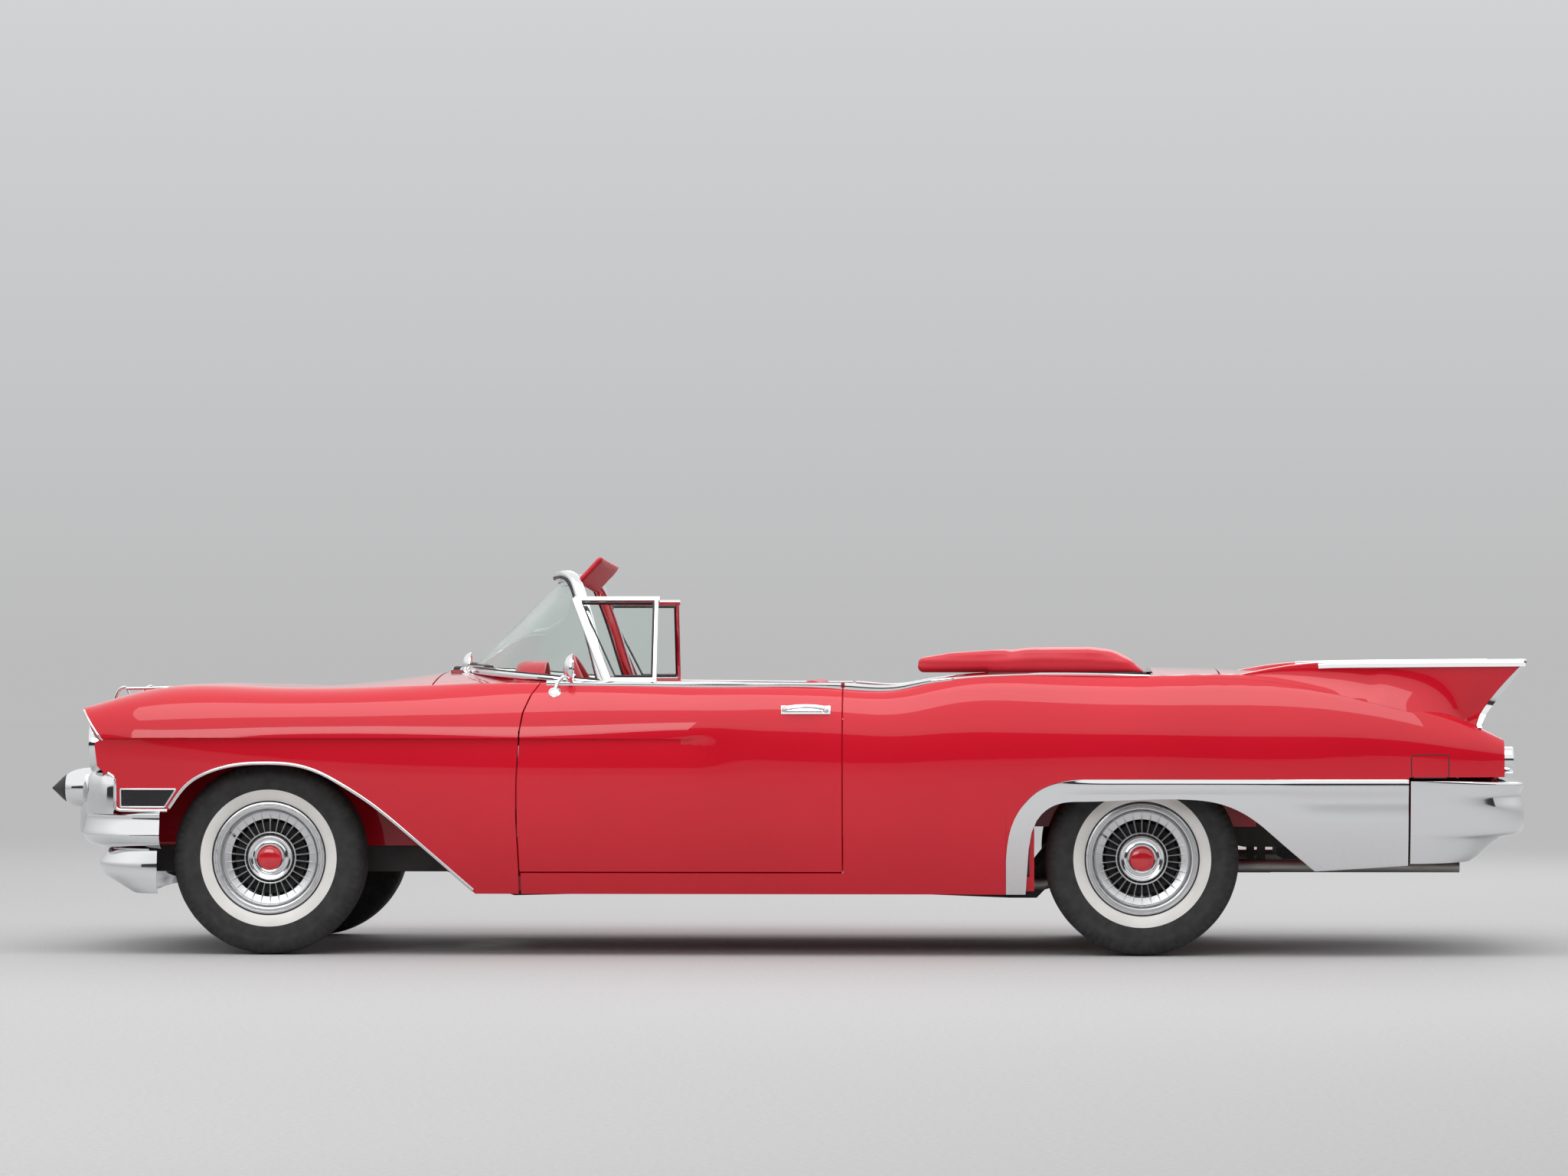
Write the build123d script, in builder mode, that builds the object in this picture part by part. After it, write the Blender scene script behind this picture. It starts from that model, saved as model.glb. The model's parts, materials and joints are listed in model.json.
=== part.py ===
from build123d import *

import math
import os

# Two-door luxury convertible with tail fins, its top folded under a boot.
# Millimetres: +X towards the tail, +Y to the car's right, +Z up. The origin is on the ground, under the
# middle of the car's length and width. Right-hand panels are modelled, then mirrored to the left.

os.makedirs("parts", exist_ok=True)

# ---------------------------------------------------------------- running gear
FRONT_AXLE_X = -1936.0
WHEELBASE = 3289.0
REAR_AXLE_X = FRONT_AXLE_X + WHEELBASE
TRACK = 1549.0
WHEEL_Y = TRACK / 2
TYRE_R = 365.0
TYRE_W = 208.0
TREAD_W = 150.0
BEAD_R = 192.0
RIM_W = 161.0
RIM_T = 7.0
RIM_LIP_R = 212.0
HUB_Z = TYRE_R
HUB_R = 94.0
HUB_T = 40.0
SPINDLE_R = 20.0
SPINDLE_FIT = 0.1
DISC_T = 14.0
DISC_Y = 26.0          # wheel disc's inner face, outboard of the tyre's middle plane
SLOTS = 30
SLOT_R_IN = 99.0
SLOT_R_OUT = 147.0
SLOT_W_IN = 13.0         # the slots widen outwards, which leaves fins of even width
SLOT_W_OUT = 22.0
DRUM_R = 140.0
KINGPIN_INSET = 70.0   # from the tyre's middle plane to the steering axis
KINGPIN_Y = WHEEL_Y - KINGPIN_INSET

# ---------------------------------------------------------------- body
SHUT = 6.0             # gap between neighbouring body panels
SKIN = 24.0            # a body panel with its inner pressing
SEAT = 0.3             # clearance between pieces that seat on each other
SHEET = 18.0           # floors and bulkheads, with their ribs and felt
TRIM_PROUD = 4.0       # bright trim stands this far out of the body side

SILL_Z = 233.0         # bottom of the rocker
BELLY_Z = 520.0        # height at which the lower body side bulges most
BULGE_RISE = 20.0      # the upper body side bulges most this far above its mid height

# Cross-sections of the right body side, from nose to tail. Columns:
# x, sill_y, belly_y, crease_y, crease_z, ledge, bulge_y, crown_y, crown_z, rim_y, rim_z
BODY_SECTIONS = (
    (-2650, 860, 905, 925, 812, 10, 915, 790, 922, 626, 916),
    (-2480, 875, 930, 950, 812, 14, 925, 800, 981, 676, 972),
    (-1936, 900, 965, 980, 812, 16, 955, 815, 1010, 686, 998),
    (-1000, 915, 990, 1000, 812, 14, 975, 890, 1025, 820, 1027),
    (-200, 918, 996, 1006, 812, 4, 985, 905, 1014, 840, 1016),
    (230, 918, 998, 1008, 805, 2, 985, 905, 1004, 840, 1007),
    (420, 918, 998, 1009, 800, 2, 983, 900, 1000, 820, 1004),
    (620, 918, 998, 1010, 795, 2, 985, 895, 1042, 808, 1046),
    (1353, 915, 995, 1012, 785, 2, 985, 885, 1052, 796, 1056),
    (1850, 905, 985, 1000, 780, 2, 972, 870, 1052, 686, 1046),
    (2350, 880, 960, 975, 765, 2, 958, 880, 955, 682, 940),
    (2600, 850, 925, 940, 755, 2, 922, 860, 868, 682, 800),
    (2705, 820, 890, 905, 745, 2, 893, 845, 812, 682, 720),
)
FENDER_NOSE = ((-2639, 926), (-2562, 808), (-2588, 800), (-2577, 710), (-2518, 662), (-2515, 552))
FRONT_ARCH = ((-2302, 548), (-2253, 616), (-2177, 673), (-2063, 709), (-1930, 718), (-1826, 711),
              (-1731, 682), (-1636, 630), (-1541, 568), (-1429, 478), (-1151, SILL_Z - 6))
DOOR_FRONT = ((-981, 318), (-989, 525), (-987, 673), (-976, 843), (-963, 917), (-936, 981), (-880, 1060))
DOOR_REAR_X = 228.0
DOOR_REAR_INNER_X = 214.0   # the shut face slants, so that it clears the jamb on its arc
DOOR_BOTTOM_Z = 318.0
DOOR_CORNER_R = 50.0
DOOR_INNER_Y = 850.0
TRIM_ARCH = ((842, SILL_Z - 6), (846, 407), (861, 484), (899, 560), (961, 622), (1037, 654), (1129, 666))
REAR_ARCH = ((916, SILL_Z - 6), (926, 392), (938, 469), (976, 537), (1037, 574), (1129, 583),
             (1513, 591), (1627, 578), (1743, 530), (1858, 438), (1995, 322))
TRIM_END_X = 2343.0
TAIL_X = 2705.0
TAIL_LOW_Z = 674.0
TAIL_LAMP_Y = 838.0
TAIL_LAMP_Z = 737.0
TAIL_LAMP_R = 50.0
TAIL_PANEL_X = TAIL_X - 21.0
UPPER_Z = 1200.0       # above every panel, for cutting outlines

HOOD_FRONT_X = -2610.0
HOOD_REAR_X = -1330.0
HOOD_T = 18.0
LID_FRONT_X = 1656.0
LID_REAR_X = 2690.0
BOOT_REAR_X = 1392.0
# Half-widths of the hood and of the deck with its lid, as (x, y) along their edges
HOOD_EDGE = ((-2700, 636), (-2480, 684), (-1936, 694), (-1324, 786), (-990, 822))
DECK_EDGE = ((640, 796), (1000, 800), (1353, 790), (1656, 735), (1850, 692), (2350, 684), (2750, 684))
# The lid is narrower at its front corners, which swing down and forward as it opens
LID_EDGE = ((1600, 733), (LID_FRONT_X, 725), (1750, 709), (1850, 692), (2350, 684), (2750, 684))
# Hood and lid cross-sections: x, half_width, edge_z, centre_z
HOOD_SECTIONS = ((HOOD_FRONT_X, 670, 912, 938), (-2480, 704, 965, 985), (-1936, 714, 990, 1010),
                 (HOOD_REAR_X, 805, 1012, 1066))
LID_SECTIONS = ((LID_FRONT_X, 756, 1046, 1078), (1850, 712, 1040, 1065), (2350, 704, 934, 962),
                (2600, 704, 794, 820), (LID_REAR_X, 704, 724, 742))
LID_T = 18.0
DECK_SECTIONS = ((BOOT_REAR_X + SHUT, 822, 1050, 1084), (LID_FRONT_X - SHUT, 768, 1046, 1078))

# Fin cross-sections: x, outer_foot_y, inner_foot_y, foot_z, top_z
FIN_SECTIONS = ((1560, 900, 800, 985, 1030), (1921, 925, 800, 965, 1095), (2150, 938, 798, 920, 1108),
                (2500, 935, 796, 850, 1112), (2795, 925, 796, 830, 1114))
FIN_TOP_Y = 858.0
FIN_TOP_T = 26.0
FIN_TAIL = ((2792, 1120), (2791, 1102), (2645, 912), (2621, 867), (2641, 806))

FLOOR_Z = 300.0
TRUNK_FLOOR_Z = 520.0
FIREWALL_X = -1080.0
HINGE_PILLAR = (-1060.0, -1005.0)
LOCK_PILLAR = (240.0, 300.0)
BULKHEAD_X = 905.0
BULKHEAD_Z = 980.0
WHEELHOUSE = (REAR_AXLE_X - 423, REAR_AXLE_X + 437)
WHEELHOUSE_Y = WHEEL_Y - TYRE_W / 2 - 38.5
WHEELHOUSE_Z = 800.0
APRON_Y = 455.0
APRON_FRONT_X = -2560.0
CLIP_Z = 885.0


def polygon_prism(points, plane, amount):
    """The closed outline through the points, drawn on a plane and extruded by amount."""
    with BuildPart() as prism:
        with BuildSketch(plane):
            with BuildLine():
                Polyline(*points, close=True)
            make_face()
        extrude(amount=amount)
    return prism.part


def side_prism(points, y_low, y_high):
    """An outline of (x, z) points, as a block from y_low to y_high."""
    return polygon_prism(points, Plane.XZ.offset(-y_low), y_low - y_high)


def plan_prism(points, z_low, z_high):
    """An outline of (x, y) points, as a block from z_low to z_high."""
    return polygon_prism(points, Plane.XY.offset(z_low), z_high - z_low)


def block(x_range, y_range, z_range):
    """A box between two limits along each axis."""
    corners = ((x_range[0], y_range[0]), (x_range[1], y_range[0]), (x_range[1], y_range[1]), (x_range[0], y_range[1]))
    return plan_prism(corners, *z_range)


def tube_y(radius, x, z, y_low, y_high, bore=0.0):
    """A round bar along Y, with an optional bore."""
    with BuildPart() as tube:
        with BuildSketch(Plane.XZ.offset(-y_low)):
            with Locations((x, z)):
                Circle(radius)
                if bore:
                    Circle(bore, mode=Mode.SUBTRACT)
        extrude(amount=y_low - y_high)
    return tube.part


def tube_x(radius, y, z, x_low, x_high, end_radius=None):
    """A round bar along X, or a cone frustum when end_radius is given at x_high."""
    with BuildPart() as tube:
        with BuildSketch(Plane.YZ.offset(x_low)):
            with Locations((y, z)):
                Circle(radius)
        if end_radius is None:
            extrude(amount=x_high - x_low)
        else:
            with BuildSketch(Plane.YZ.offset(x_high)):
                with Locations((y, z)):
                    Circle(end_radius)
            loft()
    return tube.part


def both_sides(part):
    """A right-hand part together with its left-hand copy."""
    with BuildPart() as pair:
        add(part)
        mirror(about=Plane.XZ)
    return pair.part


def mirrored(part):
    """The left-hand copy of a right-hand part."""
    with BuildPart() as copy:
        add(part)
        mirror(about=Plane.XZ, mode=Mode.REPLACE)
    return copy.part


def body_side(inset, reach, ruled=False):
    """The right body side from nose to tail as a solid, inset from the outer skin.

    reach takes its inner wall further in and its foot further down, for use as a cutter. The hidden inner
    faces are ruled from section to section; the outer skin is one smooth loft.
    """
    with BuildPart() as side:
        for (x, sill_y, belly_y, crease_y, crease_z, ledge, bulge_y, crown_y, crown_z, rim_y, rim_z) in BODY_SECTIONS:
            bulge_z = (crease_z + crown_z) / 2 + BULGE_RISE
            with BuildSketch(Plane.YZ.offset(x)):
                with BuildLine():
                    lower = ThreePointArc((sill_y - inset, SILL_Z), (belly_y - inset, BELLY_Z),
                                          (crease_y - inset, crease_z))
                    step = Line(lower @ 1, (crease_y + ledge - inset, crease_z + ledge / 2))
                    upper = ThreePointArc(step @ 1, (bulge_y - inset, bulge_z),
                                          (crown_y - inset / 2, crown_z - inset))
                    top = Line(upper @ 1, (rim_y - reach, rim_z - inset))
                    Polyline(top @ 1, (rim_y - reach, SILL_Z - reach), (sill_y - inset, SILL_Z - reach), lower @ 0)
                make_face()
        loft(ruled=ruled)
    return side.part


def crowned_panel(sections, thickness):
    """A panel across the car whose cross-sections are arcs, from a table of x, half_width, edge_z, centre_z."""
    with BuildPart() as panel:
        for x, half_width, edge_z, centre_z in sections:
            with BuildSketch(Plane.YZ.offset(x)):
                with BuildLine():
                    top = ThreePointArc((-half_width, edge_z), (0, centre_z), (half_width, edge_z))
                    Line(top @ 1, (half_width, edge_z - thickness))
                    low = ThreePointArc((half_width, edge_z - thickness), (0, centre_z - thickness),
                                        (-half_width, edge_z - thickness))
                    Line(low @ 1, top @ 0)
                make_face()
        loft()
    return panel.part


def edge_prism(edge, gap):
    """The plan area between a half-width edge and its mirror image, widened by gap, as a tall block."""
    right = [(x, y + gap) for x, y in edge]
    with BuildPart() as prism:
        with BuildSketch(Plane.XY.offset(500)):
            with BuildLine():
                Spline(*right)
                Line(right[-1], (right[-1][0], -right[-1][1]))
                Spline(*[(x, -y) for x, y in reversed(right)])
                Line((right[0][0], -right[0][1]), right[0])
            make_face()
        extrude(amount=1000)
    return prism.part


def publish(part, name):
    """Label a finished piece and write it."""
    part.label = name
    export_step(part, f"parts/{name}.step")


# ---------------------------------------------------------------- body side solids
SOLID_SIDE = body_side(0, reach=1)
TRIM_SIDE = body_side(-TRIM_PROUD, reach=1)
CORE_SIDE = body_side(SKIN, reach=60, ruled=True)
INSIDE = body_side(SKIN + SEAT, reach=60, ruled=True)

# ---------------------------------------------------------------- front fenders
fender_outline = (*FENDER_NOSE, *FRONT_ARCH, (DOOR_FRONT[0][0] - SHUT, SILL_Z - 6),
                  *((x - SHUT, z) for x, z in DOOR_FRONT), (DOOR_FRONT[-1][0] - SHUT, UPPER_Z), (-2700, UPPER_Z))
with BuildPart() as front_fender_right:
    add(SOLID_SIDE)
    add(side_prism(fender_outline, 500, 1200), mode=Mode.INTERSECT)
    add(CORE_SIDE, mode=Mode.SUBTRACT)
    add(edge_prism(HOOD_EDGE, SHUT), mode=Mode.SUBTRACT)
publish(front_fender_right.part, "front_fender_right")
publish(mirrored(front_fender_right.part), "front_fender_left")

# ---------------------------------------------------------------- rear quarters with their fins
jamb_x = DOOR_REAR_X + SHUT
rocker_x = DOOR_FRONT[0][0] + 3
quarter_outline = ((rocker_x, SILL_Z - 6), (rocker_x, DOOR_BOTTOM_Z - SHUT), (jamb_x, DOOR_BOTTOM_Z - SHUT),
                   (jamb_x, UPPER_Z), (TAIL_X + 100, UPPER_Z), (TAIL_X + 100, TAIL_LOW_Z),
                   *reversed([(x, z + SEAT) if i == len(TRIM_ARCH) - 1 else (x - SEAT, z)
                              for i, (x, z) in enumerate(TRIM_ARCH)]))
with BuildPart() as fin:
    for x, outer_y, inner_y, foot_z, top_z in FIN_SECTIONS:
        waist_z = foot_z + 0.42 * (top_z - foot_z)
        half_t = FIN_TOP_T / 2
        with BuildSketch(Plane.YZ.offset(x)):
            with BuildLine():
                Line((inner_y, foot_z), (outer_y, foot_z))
                ThreePointArc((outer_y, foot_z), ((outer_y + 2 * FIN_TOP_Y) / 3 + half_t, waist_z),
                              (FIN_TOP_Y + half_t, top_z))
                Line((FIN_TOP_Y + half_t, top_z), (FIN_TOP_Y - half_t, top_z))
                ThreePointArc((FIN_TOP_Y - half_t, top_z), ((inner_y + 2 * FIN_TOP_Y) / 3 - half_t, waist_z),
                              (inner_y, foot_z))
            make_face()
    loft()
    add(side_prism((*FIN_TAIL, (2900, 700), (2900, UPPER_Z), (2792, UPPER_Z)), 600, 1100), mode=Mode.SUBTRACT)

with BuildPart() as rear_quarter_right:
    add(SOLID_SIDE)
    add(fin.part)
    add(side_prism(quarter_outline, 500, 1200), mode=Mode.INTERSECT)
    add(CORE_SIDE, mode=Mode.SUBTRACT)
    add(edge_prism(DECK_EDGE, SHUT), mode=Mode.SUBTRACT)
    add(tube_x(TAIL_LAMP_R + SEAT, TAIL_LAMP_Y, TAIL_LAMP_Z, TAIL_PANEL_X, TAIL_X + SHUT), mode=Mode.SUBTRACT)
publish(rear_quarter_right.part, "rear_quarter_right")
publish(mirrored(rear_quarter_right.part), "rear_quarter_left")

# ---------------------------------------------------------------- bright quarter trim
trim_outline = (*TRIM_ARCH, (TRIM_END_X, TRIM_ARCH[-1][1]), (TRIM_END_X, 343), (2022, 323), *reversed(REAR_ARCH))
with BuildPart() as quarter_trim:
    add(TRIM_SIDE)
    add(side_prism(trim_outline, 500, 1200), mode=Mode.INTERSECT)
    add(CORE_SIDE, mode=Mode.SUBTRACT)
    mirror(about=Plane.XZ)
publish(quarter_trim.part, "quarter_trim")

# ---------------------------------------------------------------- doors
door_outline = (*DOOR_FRONT, (-880, UPPER_Z), (DOOR_REAR_X, UPPER_Z), (DOOR_REAR_X, DOOR_BOTTOM_Z + DOOR_CORNER_R),
                (DOOR_REAR_X - 0.3 * DOOR_CORNER_R, DOOR_BOTTOM_Z + 0.3 * DOOR_CORNER_R),
                (DOOR_REAR_X - DOOR_CORNER_R, DOOR_BOTTOM_Z))
shut_face = ((DOOR_REAR_X, 1010), (DOOR_REAR_X + 50, 1010), (DOOR_REAR_X + 50, DOOR_INNER_Y - 10),
             (DOOR_REAR_INNER_X, DOOR_INNER_Y - 10))
with BuildPart() as door_right:
    add(SOLID_SIDE)
    add(side_prism(door_outline, DOOR_INNER_Y, 1200), mode=Mode.INTERSECT)
    add(plan_prism(shut_face, 0, UPPER_Z), mode=Mode.SUBTRACT)
publish(door_right.part, "door_right")
publish(mirrored(door_right.part), "door_left")

# Vent window: a frame that leans in with height, on the bright moulding along the door's top
VENT_FRONT_TOP = (-785.0, 1349.0)
VENT_REAR_X = -476.0
VENT_FOOT_Z = 1026.0
VENT_FOOT_X = -645.0
VENT_BAR = 22.0
VENT_T = 16.0
VENT_GLASS_T = 5.0
VENT_LEAN = math.radians(25.0)
VENT_FOOT_Y = 872.0
BELT = ((-886, 985), (-886, 1036), (-200, 1026), (DOOR_REAR_X - 4, 1017), (DOOR_REAR_X - 4, 980))
BELT_Y = (DOOR_INNER_Y + 1, 893.0)
HANDLE_X = (5.0, 185.0)
HANDLE_Z = (912.0, 938.0)
HANDLE_Y = (980.0, 1014.0)
MIRROR_FOOT = (-850.0, 880.0, 1028.0)
MIRROR_HEAD = (-790.0, 905.0, 1079.0)
MIRROR_R = 57.0
RIGHT_MIRROR = (-1340.0, 850.0, 1090.0)

vent_plane = Plane(origin=(0, VENT_FOOT_Y, VENT_FOOT_Z), x_dir=(1, 0, 0),
                   z_dir=(0, math.cos(VENT_LEAN), math.sin(VENT_LEAN)))
vent_rise = (VENT_FRONT_TOP[1] - VENT_FOOT_Z) / math.cos(VENT_LEAN)
vent_corners = ((VENT_FOOT_X, 0), (VENT_FRONT_TOP[0], -vent_rise), (VENT_REAR_X, -vent_rise), (VENT_REAR_X, 0))
if vent_plane.y_dir.Z > 0:
    vent_corners = tuple((x, -v) for x, v in vent_corners)
with BuildPart() as vent_glass_right:
    with BuildSketch(vent_plane):
        with BuildLine():
            Polyline(*vent_corners, close=True)
        make_face()
        offset(amount=-VENT_BAR - SEAT, kind=Kind.INTERSECTION, mode=Mode.REPLACE)
    extrude(amount=VENT_GLASS_T / 2, both=True)
publish(vent_glass_right.part, "vent_glass_right")
publish(mirrored(vent_glass_right.part), "vent_glass_left")

with BuildPart() as brightwork_right:
    with BuildSketch(vent_plane):
        with BuildLine():
            Polyline(*vent_corners, close=True)
        make_face()
        offset(amount=-VENT_BAR, kind=Kind.INTERSECTION, mode=Mode.SUBTRACT)
    extrude(amount=VENT_T / 2, both=True)
    add(side_prism(BELT, *BELT_Y))
    add(block((HANDLE_X[0], HANDLE_X[1]), HANDLE_Y, HANDLE_Z))
    add(body_side(-SEAT, reach=1), mode=Mode.SUBTRACT)
with BuildPart() as mirror_left:
    with BuildSketch(Plane(origin=MIRROR_FOOT, z_dir=(0, 0, 1))):
        Circle(16)
    with BuildSketch(Plane(origin=(MIRROR_HEAD[0], MIRROR_HEAD[1], MIRROR_HEAD[2] - MIRROR_R + 8), z_dir=(0, 0, 1))):
        Circle(8)
    loft()
    add(tube_x(0.75 * MIRROR_R, MIRROR_HEAD[1], MIRROR_HEAD[2], MIRROR_HEAD[0] - 30, MIRROR_HEAD[0], MIRROR_R))
publish(brightwork_right.part, "door_brightwork_right")
with BuildPart() as brightwork_left:
    add(mirrored(brightwork_right.part))
    add(mirrored(mirror_left.part))
publish(brightwork_left.part, "door_brightwork_left")

# ---------------------------------------------------------------- windshield
GLASS_T = 6.0
# The wrapped glass in plan, right half, outer face: at its foot on the tilted cowl and at its head
GLASS_FOOT = ((-1231, 0), (-1205, 300), (-1120, 560), (-1010, 726), (-880, 800), (-700, 822))
GLASS_HEAD = ((-900, 0), (-892, 200), (-874, 380), (-852, 520), (-837, 590), (-819, 640))
GLASS_FOOT_Z = 1085.0        # at the middle of the foot
GLASS_FOOT_TILT = 5.15       # degrees: the foot falls towards the pillars
GLASS_HEAD_Z = 1412.0
HEADER_H = 42.0
HEADER_T = 40.0
FOOT_H = 26.0
FOOT_T = 30.0
PILLAR_W = 46.0

foot_tilt = math.radians(GLASS_FOOT_TILT)
foot_plane = Plane(origin=(GLASS_FOOT[0][0], 0, GLASS_FOOT_Z), x_dir=(math.cos(foot_tilt), 0, -math.sin(foot_tilt)),
                   z_dir=(math.sin(foot_tilt), 0, math.cos(foot_tilt)))
head_plane = Plane(origin=(GLASS_FOOT[0][0], 0, GLASS_HEAD_Z))


def band_outline(points, shift):
    """The plan curve through the points and their mirror images, moved outwards by shift."""
    half = [(x - GLASS_FOOT[0][0], y) for x, y in points]
    full = [(x, -y) for x, y in reversed(half[1:])] + half
    moved = []
    for i, (x, y) in enumerate(full):
        before = full[max(i - 1, 0)]
        after = full[min(i + 1, len(full) - 1)]
        dx, dy = after[0] - before[0], after[1] - before[1]
        length = math.hypot(dx, dy)
        moved.append((x - shift * dy / length, y + shift * dx / length))
    return moved


def wrapped_band(foot, head, foot_pl, head_pl, ahead, behind):
    """A solid between two wrapped bands of the same make, one on each plane."""
    with BuildPart() as band:
        for points, plane in ((foot, foot_pl), (head, head_pl)):
            outer = band_outline(points, ahead)
            inner = band_outline(points, -behind)
            with BuildSketch(plane):
                with BuildLine():
                    Spline(*outer)
                    Line(outer[-1], inner[-1])
                    Spline(*reversed(inner))
                    Line(inner[0], outer[0])
                make_face()
        loft(ruled=True)
    return band.part


def extended(points, length):
    """The plan curve with its last point moved on along its last stretch."""
    (x0, y0), (x1, y1) = points[-2:]
    stretch = math.hypot(x1 - x0, y1 - y0)
    return (*points[:-1], (x1 + length * (x1 - x0) / stretch, y1 + length * (y1 - y0) / stretch))


publish(wrapped_band(GLASS_FOOT, GLASS_HEAD, foot_plane, head_plane, 0, GLASS_T), "windshield_glass")

long_foot = extended(GLASS_FOOT, PILLAR_W / 2)
long_head = extended(GLASS_HEAD, PILLAR_W / 2)
foot_proud = (FOOT_T - GLASS_T) / 2
# The right-hand mirror stands on the fender, ahead of the pillar
with BuildPart() as fender_mirror:
    with BuildSketch(Plane.XY.offset(990)):
        with Locations(RIGHT_MIRROR[:2]):
            Circle(16)
    with BuildSketch(Plane.XY.offset(RIGHT_MIRROR[2] - MIRROR_R + 8)):
        with Locations(RIGHT_MIRROR[:2]):
            Circle(8)
    loft()
    add(tube_x(0.75 * MIRROR_R, RIGHT_MIRROR[1], RIGHT_MIRROR[2], RIGHT_MIRROR[0] - 30, RIGHT_MIRROR[0], MIRROR_R))
    add(body_side(-SEAT, reach=1), mode=Mode.SUBTRACT)

with BuildPart() as windshield_frame:
    add(wrapped_band(long_foot, long_foot, foot_plane.offset(-FOOT_H), foot_plane.offset(-SEAT), foot_proud,
                     FOOT_T - foot_proud))
    add(wrapped_band(long_head, long_head, head_plane.offset(SEAT), head_plane.offset(HEADER_H), foot_proud,
                     HEADER_T - foot_proud))
    for side in (1, -1):
        pillar_foot_z = GLASS_FOOT_Z - math.tan(foot_tilt) * (GLASS_FOOT[-1][0] - GLASS_FOOT[0][0]) - FOOT_H
        with BuildSketch(Plane.XY.offset(pillar_foot_z)):
            with Locations((GLASS_FOOT[-1][0] + SEAT + PILLAR_W / 2 + 3, side * 816)):
                Rectangle(PILLAR_W, 32)
        with BuildSketch(Plane.XY.offset(GLASS_HEAD_Z + HEADER_H)):
            with Locations((GLASS_HEAD[-1][0] + SEAT + PILLAR_W / 2 - 6, side * 626)):
                Rectangle(PILLAR_W, 32)
        loft()
    add(wrapped_band(extended(GLASS_FOOT, SEAT), extended(GLASS_HEAD, SEAT), foot_plane, head_plane, SEAT,
                     GLASS_T + SEAT), mode=Mode.SUBTRACT)
    add(fender_mirror.part)
publish(windshield_frame.part, "windshield_frame")

# ---------------------------------------------------------------- hood, cowl, deck and lid
COWL_FRONT_X = HOOD_REAR_X + SHUT
COWL_SECTIONS = ((COWL_FRONT_X, 805, 1012, 1066), (-1000, 850, 1022, 1064), (-640, 850, 1002, 1050))
COWL_T = 20.0
PLENUM = ((COWL_FRONT_X + 4, -1090), (-700, 700), (955, 1057))
LATCH_X = (-2556.0, -2516.0)
LATCH_Y = 40.0
LATCH_Z = 890.0
SUPPORT_X = (APRON_FRONT_X, APRON_FRONT_X + SHEET)

with BuildPart() as cowl:
    add(crowned_panel(COWL_SECTIONS, COWL_T))
    add(edge_prism(HOOD_EDGE, 0), mode=Mode.INTERSECT)
    add(block(*PLENUM))
    add(crowned_panel([(x, w + 1, e + 60, c + 60) for x, w, e, c in COWL_SECTIONS], 60), mode=Mode.SUBTRACT)
    opening = band_outline(long_foot, foot_proud + SEAT)
    with BuildSketch(foot_plane):
        with BuildLine():
            Spline(*opening)
            Polyline(opening[-1], (1500, opening[-1][1]), (1500, opening[0][1]), opening[0])
        make_face()
    extrude(amount=300, both=True, mode=Mode.SUBTRACT)
publish(cowl.part, "cowl")

with BuildPart() as hood:
    add(crowned_panel(HOOD_SECTIONS, HOOD_T))
    add(edge_prism(HOOD_EDGE, 0), mode=Mode.INTERSECT)
    add(block(LATCH_X, (-LATCH_Y, LATCH_Y), (LATCH_Z, 955)))
publish(hood.part, "hood")

STRIKER_X = (2610.0, 2650.0)
STRIKER_Z = 690.0
with BuildPart() as trunk_lid:
    add(crowned_panel(LID_SECTIONS, LID_T))
    add(edge_prism(LID_EDGE, 0), mode=Mode.INTERSECT)
    add(side_prism(((STRIKER_X[0], STRIKER_Z), (STRIKER_X[1], STRIKER_Z), (STRIKER_X[1], 765), (STRIKER_X[0], 800)),
                   -LATCH_Y, LATCH_Y))
publish(trunk_lid.part, "trunk_lid")
with BuildPart() as rear_deck:
    add(crowned_panel(DECK_SECTIONS, HOOD_T))
    add(edge_prism(DECK_EDGE, SHUT - SEAT), mode=Mode.INTERSECT)
publish(rear_deck.part, "rear_deck")

# ---------------------------------------------------------------- inner body
DASH_X = (FIREWALL_X + SHEET + SEAT, -930.0)
# Door hinge leaves on the pillar: the x of the door's front edge there, and their heights
HINGE_LEAVES = ((DOOR_FRONT[1][0], (500, 550)), (DOOR_FRONT[3][0] - 3.5, (790, 843)))
WHEEL_CENTRE = (-720.0, -400.0, 930.0)
WHEEL_RING_R = 215.0
WHEEL_RING_T = 12.0
COLUMN_TILT = math.radians(28.0)
COLUMN_L = 200.0
COLUMN_BOSS_R = 32.0
column = Plane(origin=WHEEL_CENTRE, x_dir=(0, 1, 0), z_dir=(-math.cos(COLUMN_TILT), 0, -math.sin(COLUMN_TILT)))
POST = ((-722.0, -650.0), (790.0, 838.0))
ENGINE = ((-1860.0, -1220.0), (-300.0, 300.0), (330.0, 925.0))


def skin_plate(x_range, y_range, z_range):
    """A plate that runs out to the inside of the right body skin."""
    with BuildPart() as plate:
        add(INSIDE)
        add(block(x_range, y_range, z_range), mode=Mode.INTERSECT)
    return plate.part


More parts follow.
